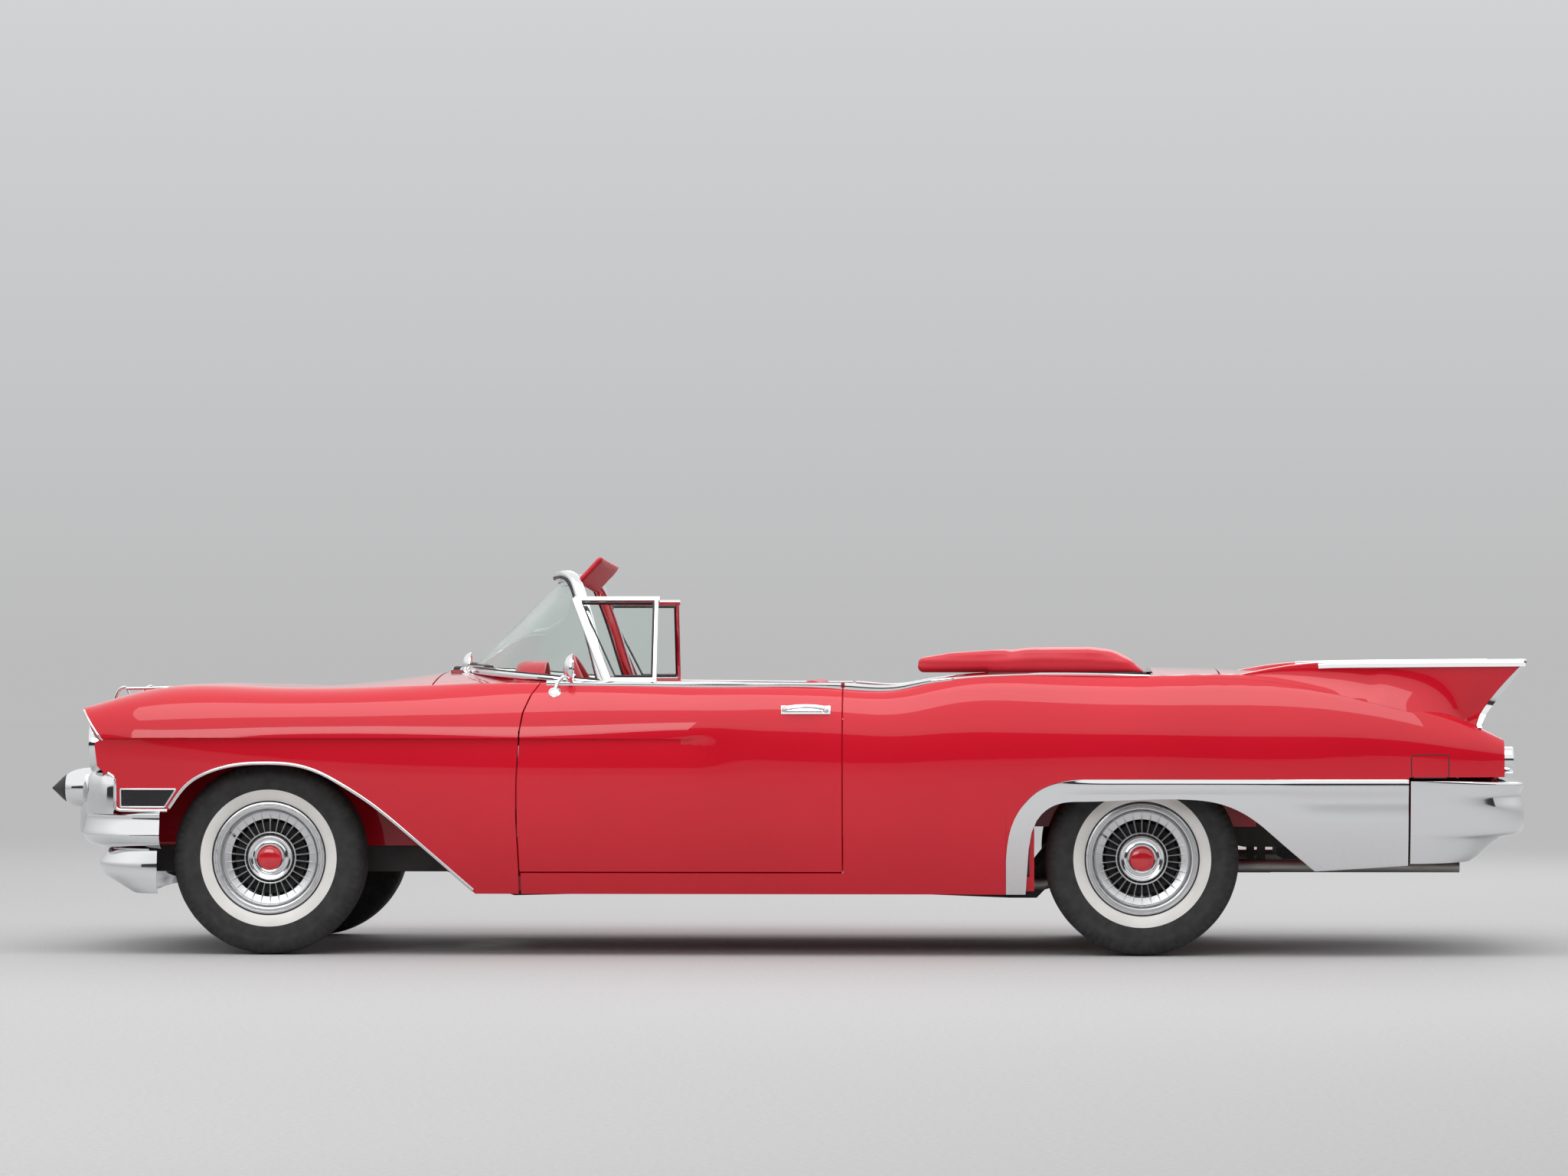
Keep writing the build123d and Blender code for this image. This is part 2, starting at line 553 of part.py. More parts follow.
wh_front, wh_rear = WHEELHOUSE
with BuildPart() as tub:
    for piece in (
        skin_plate((FIREWALL_X, FIREWALL_X + SHEET), (700, 1000), (245, 960)),
        skin_plate(HINGE_PILLAR, (800, 1000), (245, 960)),
        skin_plate((FIREWALL_X, wh_front), (700, 1000), (245, FLOOR_Z)),
        skin_plate(LOCK_PILLAR, (800, 1000), (245, 970)),
        skin_plate((wh_front, wh_rear), (780, 1000), (WHEELHOUSE_Z - SHEET, WHEELHOUSE_Z)),
        skin_plate((wh_front, wh_front + SHEET), (780, 1000), (245, WHEELHOUSE_Z)),
        skin_plate((wh_rear - SHEET, wh_rear), (700, 1000), (TRUNK_FLOOR_Z, WHEELHOUSE_Z)),
        skin_plate((wh_rear - SHEET, TRIM_END_X), (700, 1000), (TRUNK_FLOOR_Z, TRUNK_FLOOR_Z + SHEET)),
        skin_plate((TAIL_PANEL_X - SHEET, TAIL_PANEL_X), (690, 1000), (668, 800)),
    ):
        add(piece)
    add(block((FIREWALL_X, FIREWALL_X + SHEET), (0, 720), (FLOOR_Z, 954)))
    add(block((FIREWALL_X, BULKHEAD_X), (0, DOOR_INNER_Y - SHUT), (FLOOR_Z, FLOOR_Z + SHEET)))
    add(block((FIREWALL_X, 560), (0, 105), (FLOOR_Z, FLOOR_Z + 120)))
    add(block(*POST, (FLOOR_Z, 1008.8)))
    add(block((LOCK_PILLAR[0], BULKHEAD_X), (800, 800 + SHEET), (FLOOR_Z, 940)))
    add(block((560, BULKHEAD_X), (0, 805), (FLOOR_Z, FLOOR_Z + 150)))
    add(block((BULKHEAD_X, BULKHEAD_X + SHEET), (0, 805), (FLOOR_Z, BULKHEAD_Z)))
    add(block((BULKHEAD_X, wh_front + SHEET), (630, 818), (FLOOR_Z, WHEELHOUSE_Z)))
    add(block((wh_front, wh_rear), (WHEELHOUSE_Y - SHEET, WHEELHOUSE_Y), (480, WHEELHOUSE_Z)))
    add(block((wh_front, wh_rear), (WHEELHOUSE_Y - SHEET, 800), (WHEELHOUSE_Z - SHEET, WHEELHOUSE_Z)))
    add(block((wh_rear - SHEET, wh_rear), (WHEELHOUSE_Y - SHEET, 720), (TRUNK_FLOOR_Z, WHEELHOUSE_Z)))
    add(block((BULKHEAD_X, TAIL_PANEL_X), (0, WHEELHOUSE_Y), (TRUNK_FLOOR_Z, TRUNK_FLOOR_Z + SHEET)))
    add(block((wh_rear - SHEET, TAIL_PANEL_X), (0, 790), (TRUNK_FLOOR_Z, TRUNK_FLOOR_Z + SHEET)))
    add(block((TAIL_PANEL_X - SHEET, TAIL_PANEL_X), (0, 790), (TRUNK_FLOOR_Z, 688)))
    add(block((STRIKER_X[0], TAIL_X - 25), (0, LATCH_Y), (TRUNK_FLOOR_Z, STRIKER_Z - SEAT)))
    for door_x, leaf_z in HINGE_LEAVES:
        add(block((HINGE_PILLAR[1], door_x - SEAT), (DOOR_INNER_Y + 10, DOOR_INNER_Y + 90), leaf_z))
    mirror(about=Plane.XZ)
publish(tub.part, "tub")

with BuildPart() as front_clip:
    for piece in (
        skin_plate((APRON_FRONT_X, FIREWALL_X - SEAT), (480, 1000), (CLIP_Z - 13, CLIP_Z)),
        skin_plate((APRON_FRONT_X, APRON_FRONT_X + SHEET), (694, 1000), (565, 955)),
    ):
        add(piece)
    add(block((APRON_FRONT_X, FIREWALL_X - SEAT), (APRON_Y, APRON_Y + SHEET), (400, CLIP_Z)))
    add(block((APRON_FRONT_X, FIREWALL_X - SEAT), (APRON_Y, 700), (CLIP_Z - 13, CLIP_Z)))
    add(block(SUPPORT_X, (0, 700), (400, CLIP_Z)))
    add(block(LATCH_X, (0, LATCH_Y), (860, LATCH_Z - SEAT)))
    add(block((FRONT_AXLE_X - 180, FRONT_AXLE_X + 180), (APRON_Y - 1, 640), (0, 540)), mode=Mode.SUBTRACT)
    mirror(about=Plane.XZ)
publish(front_clip.part, "front_clip")

with BuildPart() as engine:
    add(block(*ENGINE))
    add(block((-1600, -1500), (-350 + SEAT, 350 - SEAT), (345, 400)))
publish(engine.part, "engine")

with BuildPart() as dashboard:
    add(block(DASH_X, (-772, 772), (700, 990)))
    with BuildSketch(Plane.YZ.offset(DASH_X[0] + 20)):
        with Locations((-400, 985)):
            Ellipse(190, 125)
    extrude(amount=125)
    with BuildSketch(column.offset(COLUMN_L + SEAT)):
        Circle(COLUMN_BOSS_R)
    extrude(amount=80)
publish(dashboard.part, "dashboard")

# ---------------------------------------------------------------- frame
RAIL_FRONT_Z = (300.0, 420.0)
RAIL_LOW_Z = (205.0, 295.0)
RAIL_AXLE_Z = (430.0, 515.0)
RAIL_FRONT_Y = (350.0, 450.0)
RAIL_REAR_Y = (440.0, 520.0)
SPINE_Y = 90.0
front_y, front_out_y = RAIL_FRONT_Y
rear_y, rear_out_y = RAIL_REAR_Y
rail_profile = ((-2450, RAIL_FRONT_Z[0]), (-1300, RAIL_FRONT_Z[0]), (-1050, RAIL_LOW_Z[0]), (960, RAIL_LOW_Z[0]),
                (1180, RAIL_AXLE_Z[0]), (1600, RAIL_AXLE_Z[0]), (1750, 400), (2560, 400), (2560, RAIL_AXLE_Z[1]),
                (1110, RAIL_AXLE_Z[1]), (935, RAIL_LOW_Z[1]), (-1090, RAIL_LOW_Z[1]), (-1250, RAIL_FRONT_Z[1]),
                (-2450, RAIL_FRONT_Z[1]))
front_arm = ((-2450, front_y), (-1250, front_y), (-720, 0), (-560, 0), (-560, SPINE_Y), (-640, SPINE_Y),
             (-1200, front_out_y), (-2450, front_out_y))
rear_arm = ((300, 0), (460, 0), (900, rear_y), (2560, rear_y), (2560, rear_out_y), (860, rear_out_y),
            (420, SPINE_Y), (300, SPINE_Y))
CROSSMEMBER = ((FRONT_AXLE_X - 65, FRONT_AXLE_X + 65), (0.0, KINGPIN_Y - 84.5), (420.0, 470.0))
with BuildPart() as frame:
    add(plan_prism(front_arm, 150, 600))
    add(plan_prism(rear_arm, 150, 600))
    add(block((-560, 300), (0, SPINE_Y), (150, 600)))
    add(side_prism(rail_profile, -10, 700), mode=Mode.INTERSECT)
    add(block(*CROSSMEMBER))
    add(block((2480, 2560), (0, rear_out_y), (400, RAIL_AXLE_Z[1])))
    add(block((-2450, -2380), (0, front_out_y), RAIL_FRONT_Z))
    for x in (-400, 200):
        add(block((x, x + 60), (0, SPINE_Y - 20), (RAIL_LOW_Z[1] - 1, FLOOR_Z - SEAT)))
    add(block((2200, 2260), (rear_y + 10, rear_out_y - 10), (RAIL_AXLE_Z[1] - 1, TRUNK_FLOOR_Z - SEAT)))
    mirror(about=Plane.XZ)
publish(frame.part, "frame")

# ---------------------------------------------------------------- bumpers and grille
BUMPER_T = 50.0
FRONT_BAR_PLAN = ((-2679, 0), (-2676, 300), (-2655, 600), (-2590, 820), (-2470, 945), (-2337, 978))
FRONT_BAR = ((-2337, 400), (-2620, 402), (-2665, 430), (-2679, 473), (-2670, 510), (-2620, 541), (-2337, 541))
FRONT_LOW = ((-2350, 231), (-2405, 228), (-2502, 254), (-2600, 297), (-2604, 345), (-2570, 394), (-2350, 394))
FRONT_LOW_PLAN = ((-2604, 0), (-2600, 300), (-2585, 560), (-2530, 780), (-2440, 900), (-2350, 940))
REAR_BAR_PLAN = ((2820, 0), (2814, 400), (2796, 700), (2752, 880), (2640, 950), (2500, 968), (2351, 975))
REAR_BAR = ((2351, 660), (2720, 655), (2800, 640), (2820, 560), (2806, 466), (2707, 451), (2632, 377),
            (2566, 366), (2351, 350))
POD_Y = 480.0
POD_Z = 620.0
POD_R = 78.0
CONE_R = 53.0
CONE_X = -2761.0
TIP_X = -2820.0
TIP_R = 5.0
BAR_IRON_X = -2450.0
PLATE_HOLE_R = 3.5
PLATE_W = 177.8
PLATE_H = 120.65
FRONT_PLATE_Z = 372.0
REAR_PLATE_Z = 545.0


def plan_band(points, thickness):
    """A bar that follows a plan curve across the car's end, given by its right half, outer face."""
    half = list(points)
    outer = [(x, -y) for x, y in reversed(half[1:])] + half
    sign = 1 if points[0][0] < 0 else -1
    inner = [(x + sign * thickness * (0.35 + 0.65 * (1 - (abs(y) / points[-1][1]) ** 6)),
              y - math.copysign(thickness * (abs(y) / points[-1][1]) ** 3, y) if y else 0.0) for x, y in outer]
    with BuildPart() as band:
        with BuildSketch():
            with BuildLine():
                Spline(*outer)
                Line(outer[-1], inner[-1])
                Spline(*reversed(inner))
                Line(inner[0], outer[0])
            make_face()
        extrude(amount=1000)
    return band.part


def plate_holes(x, z, depth, rows):
    """Bolt holes for a licence plate in one or two rows of two, run through along X."""
    with BuildPart() as holes:
        with BuildSketch(Plane.YZ.offset(x)):
            with Locations((0, z)):
                with GridLocations(PLATE_W, PLATE_H, 2, rows):
                    Circle(PLATE_HOLE_R)
        extrude(amount=depth, both=True)
    return holes.part


with BuildPart() as front_bumper:
    add(plan_band(FRONT_BAR_PLAN, BUMPER_T))
    add(side_prism(FRONT_BAR, -1000, 1000), mode=Mode.INTERSECT)
with BuildPart() as front_low:
    add(plan_band(FRONT_LOW_PLAN, BUMPER_T))
    add(side_prism(FRONT_LOW, -1000, 1000), mode=Mode.INTERSECT)
    add(plate_holes(FRONT_LOW_PLAN[0][0], FRONT_PLATE_Z, 200, rows=1), mode=Mode.SUBTRACT)
with BuildPart() as front_bumper_all:
    add(front_bumper.part)
    add(front_low.part)
    for side in (1, -1):
        add(tube_x(POD_R, side * POD_Y, POD_Z, -2610, -2700))
        add(tube_x(POD_R, side * POD_Y, POD_Z, -2700, CONE_X, CONE_R))
        add(block((-2665, -2612), (side * POD_Y - 60, side * POD_Y + 60), (500, POD_Z)))
        add(block((-2630, -2575), (side * POD_Y - 30, side * POD_Y + 30), (380, 410)))
        irons = sorted((side * (front_y + 20), side * (front_out_y - 20)))
        add(block((-2640, BAR_IRON_X - SEAT), irons, (340, 394)))
publish(front_bumper_all.part, "front_bumper")
with BuildPart() as bumper_tips:
    for side in (1, -1):
        add(tube_x(CONE_R, side * POD_Y, POD_Z, CONE_X - SEAT, TIP_X, TIP_R))
publish(bumper_tips.part, "bumper_tips")

with BuildPart() as rear_bumper:
    add(plan_band(REAR_BAR_PLAN, BUMPER_T + 10))
    add(side_prism(REAR_BAR, -1000, 1000), mode=Mode.INTERSECT)
    add(plate_holes(REAR_BAR_PLAN[0][0], REAR_PLATE_Z, 200, rows=2), mode=Mode.SUBTRACT)
    for side in (1, -1):
        irons = sorted((side * (rear_y + 10), side * (rear_out_y - 10)))
        add(block((2560 + SEAT, 2790), irons, (420, 500)))
publish(rear_bumper.part, "rear_bumper")

GRILLE_X = (-2608.0, -2590.0)
GRILLE_Y = 620.0
GRILLE_Z = (560.0, 890.0)
MESH_PITCH = 48.0        # the grille is an egg-crate of square cells in front of a thin back
MESH_BAR = 8.0
MESH_BACK = 3.0
MESH_COLUMNS = 25
MESH_ROWS = 6
with BuildPart() as grille:
    add(block(GRILLE_X, (-GRILLE_Y, GRILLE_Y), GRILLE_Z))
    with BuildSketch(Plane.YZ.offset(GRILLE_X[0] - 1)):
        with Locations((0, (GRILLE_Z[0] + GRILLE_Z[1]) / 2)):
            with GridLocations(MESH_PITCH, MESH_PITCH, MESH_COLUMNS, MESH_ROWS):
                Rectangle(MESH_PITCH - MESH_BAR, MESH_PITCH - MESH_BAR)
    extrude(amount=GRILLE_X[1] - GRILLE_X[0] - MESH_BACK, mode=Mode.SUBTRACT)
    for side in (1, -1):
        bracket = sorted((side * 250, side * 300))
        add(block((GRILLE_X[1], APRON_FRONT_X - SEAT), bracket, (700, 760)))
publish(grille.part, "grille")

# ---------------------------------------------------------------- lamps
HEADLAMP_Y = 800.0
HEADLAMP_Z = 790.0
HEADLAMP_R = 89.0
BEZEL_R = 104.0
with BuildPart() as headlamp_bezels:
    for side in (1, -1):
        add(tube_x(BEZEL_R, side * HEADLAMP_Y, HEADLAMP_Z, APRON_FRONT_X - SEAT, -2632))
        add(tube_x(HEADLAMP_R + SEAT, side * HEADLAMP_Y, HEADLAMP_Z, -2600, -2640), mode=Mode.SUBTRACT)
    add(block((-2700, -2500), (-1000, 1000), (HEADLAMP_Z + 78, 1000)), mode=Mode.SUBTRACT)
publish(headlamp_bezels.part, "headlamp_bezels")
with BuildPart() as headlamps:
    for side in (1, -1):
        with BuildSketch(Plane.YZ.offset(-2600 - SEAT)):
            with Locations((side * HEADLAMP_Y, HEADLAMP_Z)):
                Circle(HEADLAMP_R)
        extrude(amount=-22, taper=25)
publish(headlamps.part, "headlamps")
with BuildPart() as tail_lamps:
    for side in (1, -1):
        add(tube_x(TAIL_LAMP_R, side * TAIL_LAMP_Y, TAIL_LAMP_Z, TAIL_PANEL_X + SEAT, 2742))
publish(tail_lamps.part, "tail_lamps")

# ---------------------------------------------------------------- hood ornaments
SPEAR_Y = 350.0
with BuildPart() as hood_ornaments:
    for side in (1, -1):
        add(side_prism(((-2600, 955), (-2600, 985), (-2570, 1012), (-2545, 1012), (-2560, 995), (-2284, 1012),
                        (-2284, 985), (-2540, 968)), side * SPEAR_Y - 8, side * SPEAR_Y + 8))
    add(crowned_panel([(x, w, e + SEAT, c + SEAT) for x, w, e, c in HOOD_SECTIONS], 80), mode=Mode.SUBTRACT)
publish(hood_ornaments.part, "hood_ornaments")

# ---------------------------------------------------------------- seats, boot, visors
def rounded_side(points, radius, y_low, y_high):
    """An outline of (x, z) points with rounded corners, as a block from y_low to y_high."""
    with BuildPart() as solid:
        with BuildSketch(Plane.XZ.offset(-y_low)) as outline:
            with BuildLine():
                Polyline(*points, close=True)
            make_face()
            fillet(outline.vertices(), radius)
        extrude(amount=y_low - y_high)
    return solid.part


SEAT_HALF = 700.0
floor_top = FLOOR_Z + SHEET
tunnel_top = FLOOR_Z + 120
with BuildPart() as front_seat:
    add(rounded_side(((-470, 350), (-490, 520), (60, 480), (60, 350)), 30, -SEAT_HALF, SEAT_HALF))
    add(block((-400, 50), (-SEAT_HALF + 20, SEAT_HALF - 20), (floor_top + SEAT, 380)))
    add(block((-420, 80), (-105 - SHUT, 105 + SHUT), (200, tunnel_top + SEAT)), mode=Mode.SUBTRACT)
    add(block((-600, 80), (-105 - SHUT, 105 + SHUT), (200, tunnel_top + SEAT)), mode=Mode.SUBTRACT)
    add(rounded_side(((62, 350), (62, 490), (20, 500), (70, 1055), (150, 1060), (190, 350)), 18,
                     -SEAT_HALF, SEAT_HALF))
    add(block((0, 250), (-105 - SHUT, 105 + SHUT), (200, tunnel_top + SEAT)), mode=Mode.SUBTRACT)
publish(front_seat.part, "front_seat")
REAR_SEAT_HALF = 640.0
hump_top = FLOOR_Z + 150
with BuildPart() as rear_seat:
    add(rounded_side(((430, hump_top + SEAT), (420, 600), (790, 570), (790, hump_top + SEAT)), 30,
                     -REAR_SEAT_HALF, REAR_SEAT_HALF))
    add(rounded_side(((790 - 20, 560), (840, 985), (900, 985), (BULKHEAD_X - SEAT, 960),
                      (BULKHEAD_X - SEAT, hump_top + SEAT), (792, hump_top + SEAT)), 12,
                     -REAR_SEAT_HALF, REAR_SEAT_HALF))
publish(rear_seat.part, "rear_seat")

BOOT = ((505, 1068), (541, 1122), (618, 1137), (926, 1155), (1180, 1158), (1262, 1147), (1330, 1122),
        (BOOT_REAR_X, 1090), (1385, 1072), (860, 1066))
BOOT_HALF = 796.0
BOOT_WELL_Y = 655.0
BOOT_WELL_X = 775.0
with BuildPart() as top_boot:
    add(side_prism(BOOT, -BOOT_HALF, BOOT_HALF))
    add(block((BULKHEAD_X, BOOT_REAR_X - SHUT), (-760, 760), (BULKHEAD_Z + SEAT, 1075)))
    add(block((400, BOOT_WELL_X), (-BOOT_WELL_Y, BOOT_WELL_Y), (1000, 1200)), mode=Mode.SUBTRACT)
publish(top_boot.part, "top_boot")

VISOR = ((-799, 1400), (-702, 1509), (-676, 1487), (-773, 1378))
with BuildPart() as sun_visors:
    add(side_prism(VISOR, -560, -200))
    for bracket in ((-228, -206), (-554, -532)):
        rear_of_glass = GLASS_HEAD[1][0] + GLASS_T + 4 if bracket[0] > -300 else GLASS_HEAD[3][0] + GLASS_T + 10
        add(block((rear_of_glass, VISOR[3][0] - 5), bracket, (GLASS_HEAD_Z - 20, GLASS_HEAD_Z)))
publish(sun_visors.part, "sun_visors")

# ---------------------------------------------------------------- running gear
STEER_ARM_Z = (222.0, 240.0)
UPPER_ARM_Z = (492.0, 508.0)
KINGPIN_R = 12.0
SPRING_Y = KINGPIN_Y - 144.5
ARM_TIP = 16.0
SPRING_R = 50.0


def side_plane(x, z, y=0):
    """The plane across the car at x, with its first axis along Y and its origin at y and z."""
    return Plane(origin=(x, y, z), x_dir=(0, 1, 0), z_dir=(1, 0, 0))


def wheel_pair(x, name):
    """The tyre and wheel at the right end of the axle at x, written with their left-hand copies."""
    plane = side_plane(x, HUB_Z, WHEEL_Y)
    axis = Axis((x, 0, HUB_Z), (0, 1, 0))
    half = TYRE_W / 2
    bead = RIM_W / 2 - 1
    with BuildPart() as tyre:
        with BuildSketch(plane):
            with BuildLine():
                Polyline((-bead, BEAD_R + SEAT), (bead, BEAD_R + SEAT), (bead, RIM_LIP_R + 2), (half - 1, 262),
                         (half, 300), (half - 12, 342), (TREAD_W / 2, 361), (0, TYRE_R), (-TREAD_W / 2, 361),
                         (12 - half, 342), (-half, 300), (1 - half, 262), (-bead, RIM_LIP_R + 2), close=True)
            make_face()
        revolve(axis=axis)
    lip = RIM_W / 2
    barrel = BEAD_R - RIM_T
    with BuildPart() as wheel:
        with BuildSketch(plane):
            with BuildLine():
                Polyline((-40, SPINDLE_R + SPINDLE_FIT), (-40, DRUM_R), (8, DRUM_R), (8, HUB_R),
                         (DISC_Y, HUB_R), (DISC_Y, barrel), (-lip - RIM_T, barrel), (-lip - RIM_T, RIM_LIP_R),
                         (-lip, RIM_LIP_R), (-lip, BEAD_R), (lip, BEAD_R), (lip, RIM_LIP_R),
                         (lip + RIM_T, RIM_LIP_R), (lip + RIM_T, barrel), (DISC_Y + DISC_T + 8, barrel - 8),
                         (DISC_Y + DISC_T, SLOT_R_OUT + 8), (DISC_Y + DISC_T, HUB_R), (62, HUB_R - 8),
                         (64, 50), (76, 46), (76, 0), (54, 0), (54, SPINDLE_R + SPINDLE_FIT), close=True)
            make_face()
        revolve(axis=axis)
        with BuildSketch(Plane(origin=(x, WHEEL_Y + DISC_Y - 5, HUB_Z), x_dir=(1, 0, 0), z_dir=(0, 1, 0))):
            with PolarLocations(0, SLOTS):
                Polygon((SLOT_R_IN, -SLOT_W_IN / 2), (SLOT_R_OUT, -SLOT_W_OUT / 2), (SLOT_R_OUT, SLOT_W_OUT / 2),
                        (SLOT_R_IN, SLOT_W_IN / 2), align=None)
        extrude(amount=DISC_T + 20, mode=Mode.SUBTRACT)
    publish(tyre.part, f"tyre_{name}_right")
    publish(mirrored(tyre.part), f"tyre_{name}_left")
    publish(wheel.part, f"wheel_{name}_right")
    publish(mirrored(wheel.part), f"wheel_{name}_left")


wheel_pair(FRONT_AXLE_X, "front")
wheel_pair(REAR_AXLE_X, "rear")

with BuildPart() as knuckle_right:
    add(block((FRONT_AXLE_X - 25, FRONT_AXLE_X + 25), (KINGPIN_Y - 15, KINGPIN_Y + 15),
              (STEER_ARM_Z[1] + SEAT, UPPER_ARM_Z[0] - SEAT)))
    with BuildSketch(Plane.XY.offset(STEER_ARM_Z[0])):
        with Locations((FRONT_AXLE_X, KINGPIN_Y)):
            Circle(KINGPIN_R)
    extrude(amount=UPPER_ARM_Z[1] - STEER_ARM_Z[0])
    add(tube_y(40, FRONT_AXLE_X, HUB_Z, KINGPIN_Y, WHEEL_Y - 40 - SEAT))
    add(tube_y(SPINDLE_R, FRONT_AXLE_X, HUB_Z, KINGPIN_Y, WHEEL_Y + 53))
publish(knuckle_right.part, "knuckle_right")
publish(mirrored(knuckle_right.part), "knuckle_left")

with BuildPart() as front_suspension:
    for z_range in (STEER_ARM_Z, UPPER_ARM_Z):
        with BuildSketch(Plane.XY.offset(z_range[0])):
            with BuildLine():
                Polyline((FRONT_AXLE_X - 150, 400), (FRONT_AXLE_X + 150, 400), (FRONT_AXLE_X + 150, 440),
                         (FRONT_AXLE_X + ARM_TIP + 4, KINGPIN_Y - 20), (FRONT_AXLE_X + ARM_TIP + 4, KINGPIN_Y + ARM_TIP),
                         (FRONT_AXLE_X - ARM_TIP - 4, KINGPIN_Y + ARM_TIP), (FRONT_AXLE_X - ARM_TIP - 4, KINGPIN_Y - 20),
                         (FRONT_AXLE_X - 150, 440), close=True)
            make_face()
            with Locations((FRONT_AXLE_X, KINGPIN_Y)):
                Circle(KINGPIN_R + SPINDLE_FIT, mode=Mode.SUBTRACT)
        extrude(amount=z_range[1] - z_range[0])
    for x in (FRONT_AXLE_X - 120, FRONT_AXLE_X + 120):
        add(block((x - 30, x + 30), (400, 440), (STEER_ARM_Z[0], RAIL_FRONT_Z[0] - SEAT)))
        add(block((x - 30, x + 30), (400, 440), (RAIL_FRONT_Z[1] + SEAT, UPPER_ARM_Z[1])))
    with BuildSketch(Plane.XY.offset(STEER_ARM_Z[1] - 1)):
        with Locations((FRONT_AXLE_X, SPRING_Y)):
            Circle(SPRING_R)
    extrude(amount=CROSSMEMBER[2][0] - SEAT - STEER_ARM_Z[1] + 1)
    mirror(about=Plane.XZ)
publish(front_suspension.part, "front_suspension")

AXLE_TUBE_R = 45.0
with BuildPart() as rear_axle:
    add(tube_y(AXLE_TUBE_R, REAR_AXLE_X, HUB_Z, 0, WHEEL_Y - 75))
    add(tube_y(110, REAR_AXLE_X, HUB_Z, WHEEL_Y - 75, WHEEL_Y - 60))
    add(tube_y(40, REAR_AXLE_X, HUB_Z, WHEEL_Y - 62, WHEEL_Y - 40 - SEAT))
    add(tube_y(SPINDLE_R, REAR_AXLE_X, HUB_Z, WHEEL_Y - 62, WHEEL_Y + 53))
    with BuildSketch(side_plane(REAR_AXLE_X, HUB_Z)):
        Rectangle(240, 130)
    extrude(amount=110, both=True, taper=12)
    add(block((1090, 1850), (455, 505), (RAIL_AXLE_Z[0] - 128, HUB_Z - AXLE_TUBE_R + 2)))
    add(block((1090, 1120), (455, 505), (310, 338 - SEAT)))
    add(block((1800, 1830), (455, 505), (310, 400 - SEAT)))
    mirror(about=Plane.XZ)
publish(rear_axle.part, "rear_axle")

TANK = ((1900.0, 2420.0), (-420.0, 420.0), (350.0, TRUNK_FLOOR_Z - SEAT))
with BuildPart() as fuel_tank:
    add(block(*TANK))
publish(fuel_tank.part, "fuel_tank")

EXHAUST_R = 24.0
EXHAUST_Y = WHEELHOUSE_Y - SHEET - EXHAUST_R - 6
with BuildPart() as exhaust:
    with BuildLine() as route:
        FilletPolyline((-1000, EXHAUST_Y, 262), (1000, EXHAUST_Y, 262), (1190, EXHAUST_Y, 442), (1520, EXHAUST_Y, 442), (1700, EXHAUST_Y, 330),
                       (2560, EXHAUST_Y, 330), radius=60)
    with BuildSketch(Plane(origin=(-1000, EXHAUST_Y, 262), z_dir=(1, 0, 0))):
        Circle(EXHAUST_R)
    sweep()
    add(block((0, 30), (EXHAUST_Y - 15, EXHAUST_Y + 15), (262, FLOOR_Z - SEAT)))
    add(block((2300, 2330), (rear_out_y + SEAT, EXHAUST_Y + 6), (330, RAIL_AXLE_Z[0] + 10)))
    mirror(about=Plane.XZ)
publish(exhaust.part, "exhaust")

# ---------------------------------------------------------------- steering wheel
with BuildPart() as steering_wheel:
    with BuildSketch(Plane(origin=WHEEL_CENTRE, x_dir=(0, 1, 0),
                           z_dir=(math.sin(COLUMN_TILT), 0, -math.cos(COLUMN_TILT)))):
        with Locations((WHEEL_RING_R, 0)):
            RegularPolygon(WHEEL_RING_T, 8)
    revolve(axis=Axis(WHEEL_CENTRE, column.z_dir))
    with BuildSketch(column):
        Rectangle(2 * WHEEL_RING_R, 26)
        Circle(42)
    extrude(amount=10, both=True)
    with BuildSketch(column):
        Circle(COLUMN_BOSS_R - 8)
    extrude(amount=COLUMN_L)
publish(steering_wheel.part, "steering_wheel")
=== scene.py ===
# %% [markdown]
# # A finned two-door convertible, dressed over its engineering model
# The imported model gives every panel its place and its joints. This script replaces each plain panel with a
# smooth surface, adds the bright trim and gives every piece a finish that Blender works out from nodes. It
# starts by loading that model, which is the fixed frame for everything below.

# %% Load the frame
import math

import bmesh
import bpy
import numpy as np
from mathutils import Matrix, Vector
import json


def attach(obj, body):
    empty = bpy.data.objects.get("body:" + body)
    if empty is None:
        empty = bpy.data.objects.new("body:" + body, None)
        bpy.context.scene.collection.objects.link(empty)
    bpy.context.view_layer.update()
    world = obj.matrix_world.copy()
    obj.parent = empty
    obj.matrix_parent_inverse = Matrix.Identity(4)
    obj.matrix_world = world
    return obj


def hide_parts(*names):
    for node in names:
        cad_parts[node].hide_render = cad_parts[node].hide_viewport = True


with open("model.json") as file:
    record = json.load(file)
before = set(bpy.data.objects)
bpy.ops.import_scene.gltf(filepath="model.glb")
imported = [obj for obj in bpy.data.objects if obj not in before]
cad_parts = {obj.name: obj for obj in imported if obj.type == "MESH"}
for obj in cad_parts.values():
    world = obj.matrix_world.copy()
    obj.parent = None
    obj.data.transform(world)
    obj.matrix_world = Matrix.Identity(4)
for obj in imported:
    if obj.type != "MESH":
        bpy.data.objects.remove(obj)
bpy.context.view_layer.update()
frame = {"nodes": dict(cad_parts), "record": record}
MM = 0.001
print("nodes in the frame:", len(frame["nodes"]))

# %% [markdown]
# ## Camera
# A long lens seen from far off keeps a five-metre car free of distortion. The camera stands to the car's
# left, a little behind its middle, at about belt height, and turns two degrees towards the front.

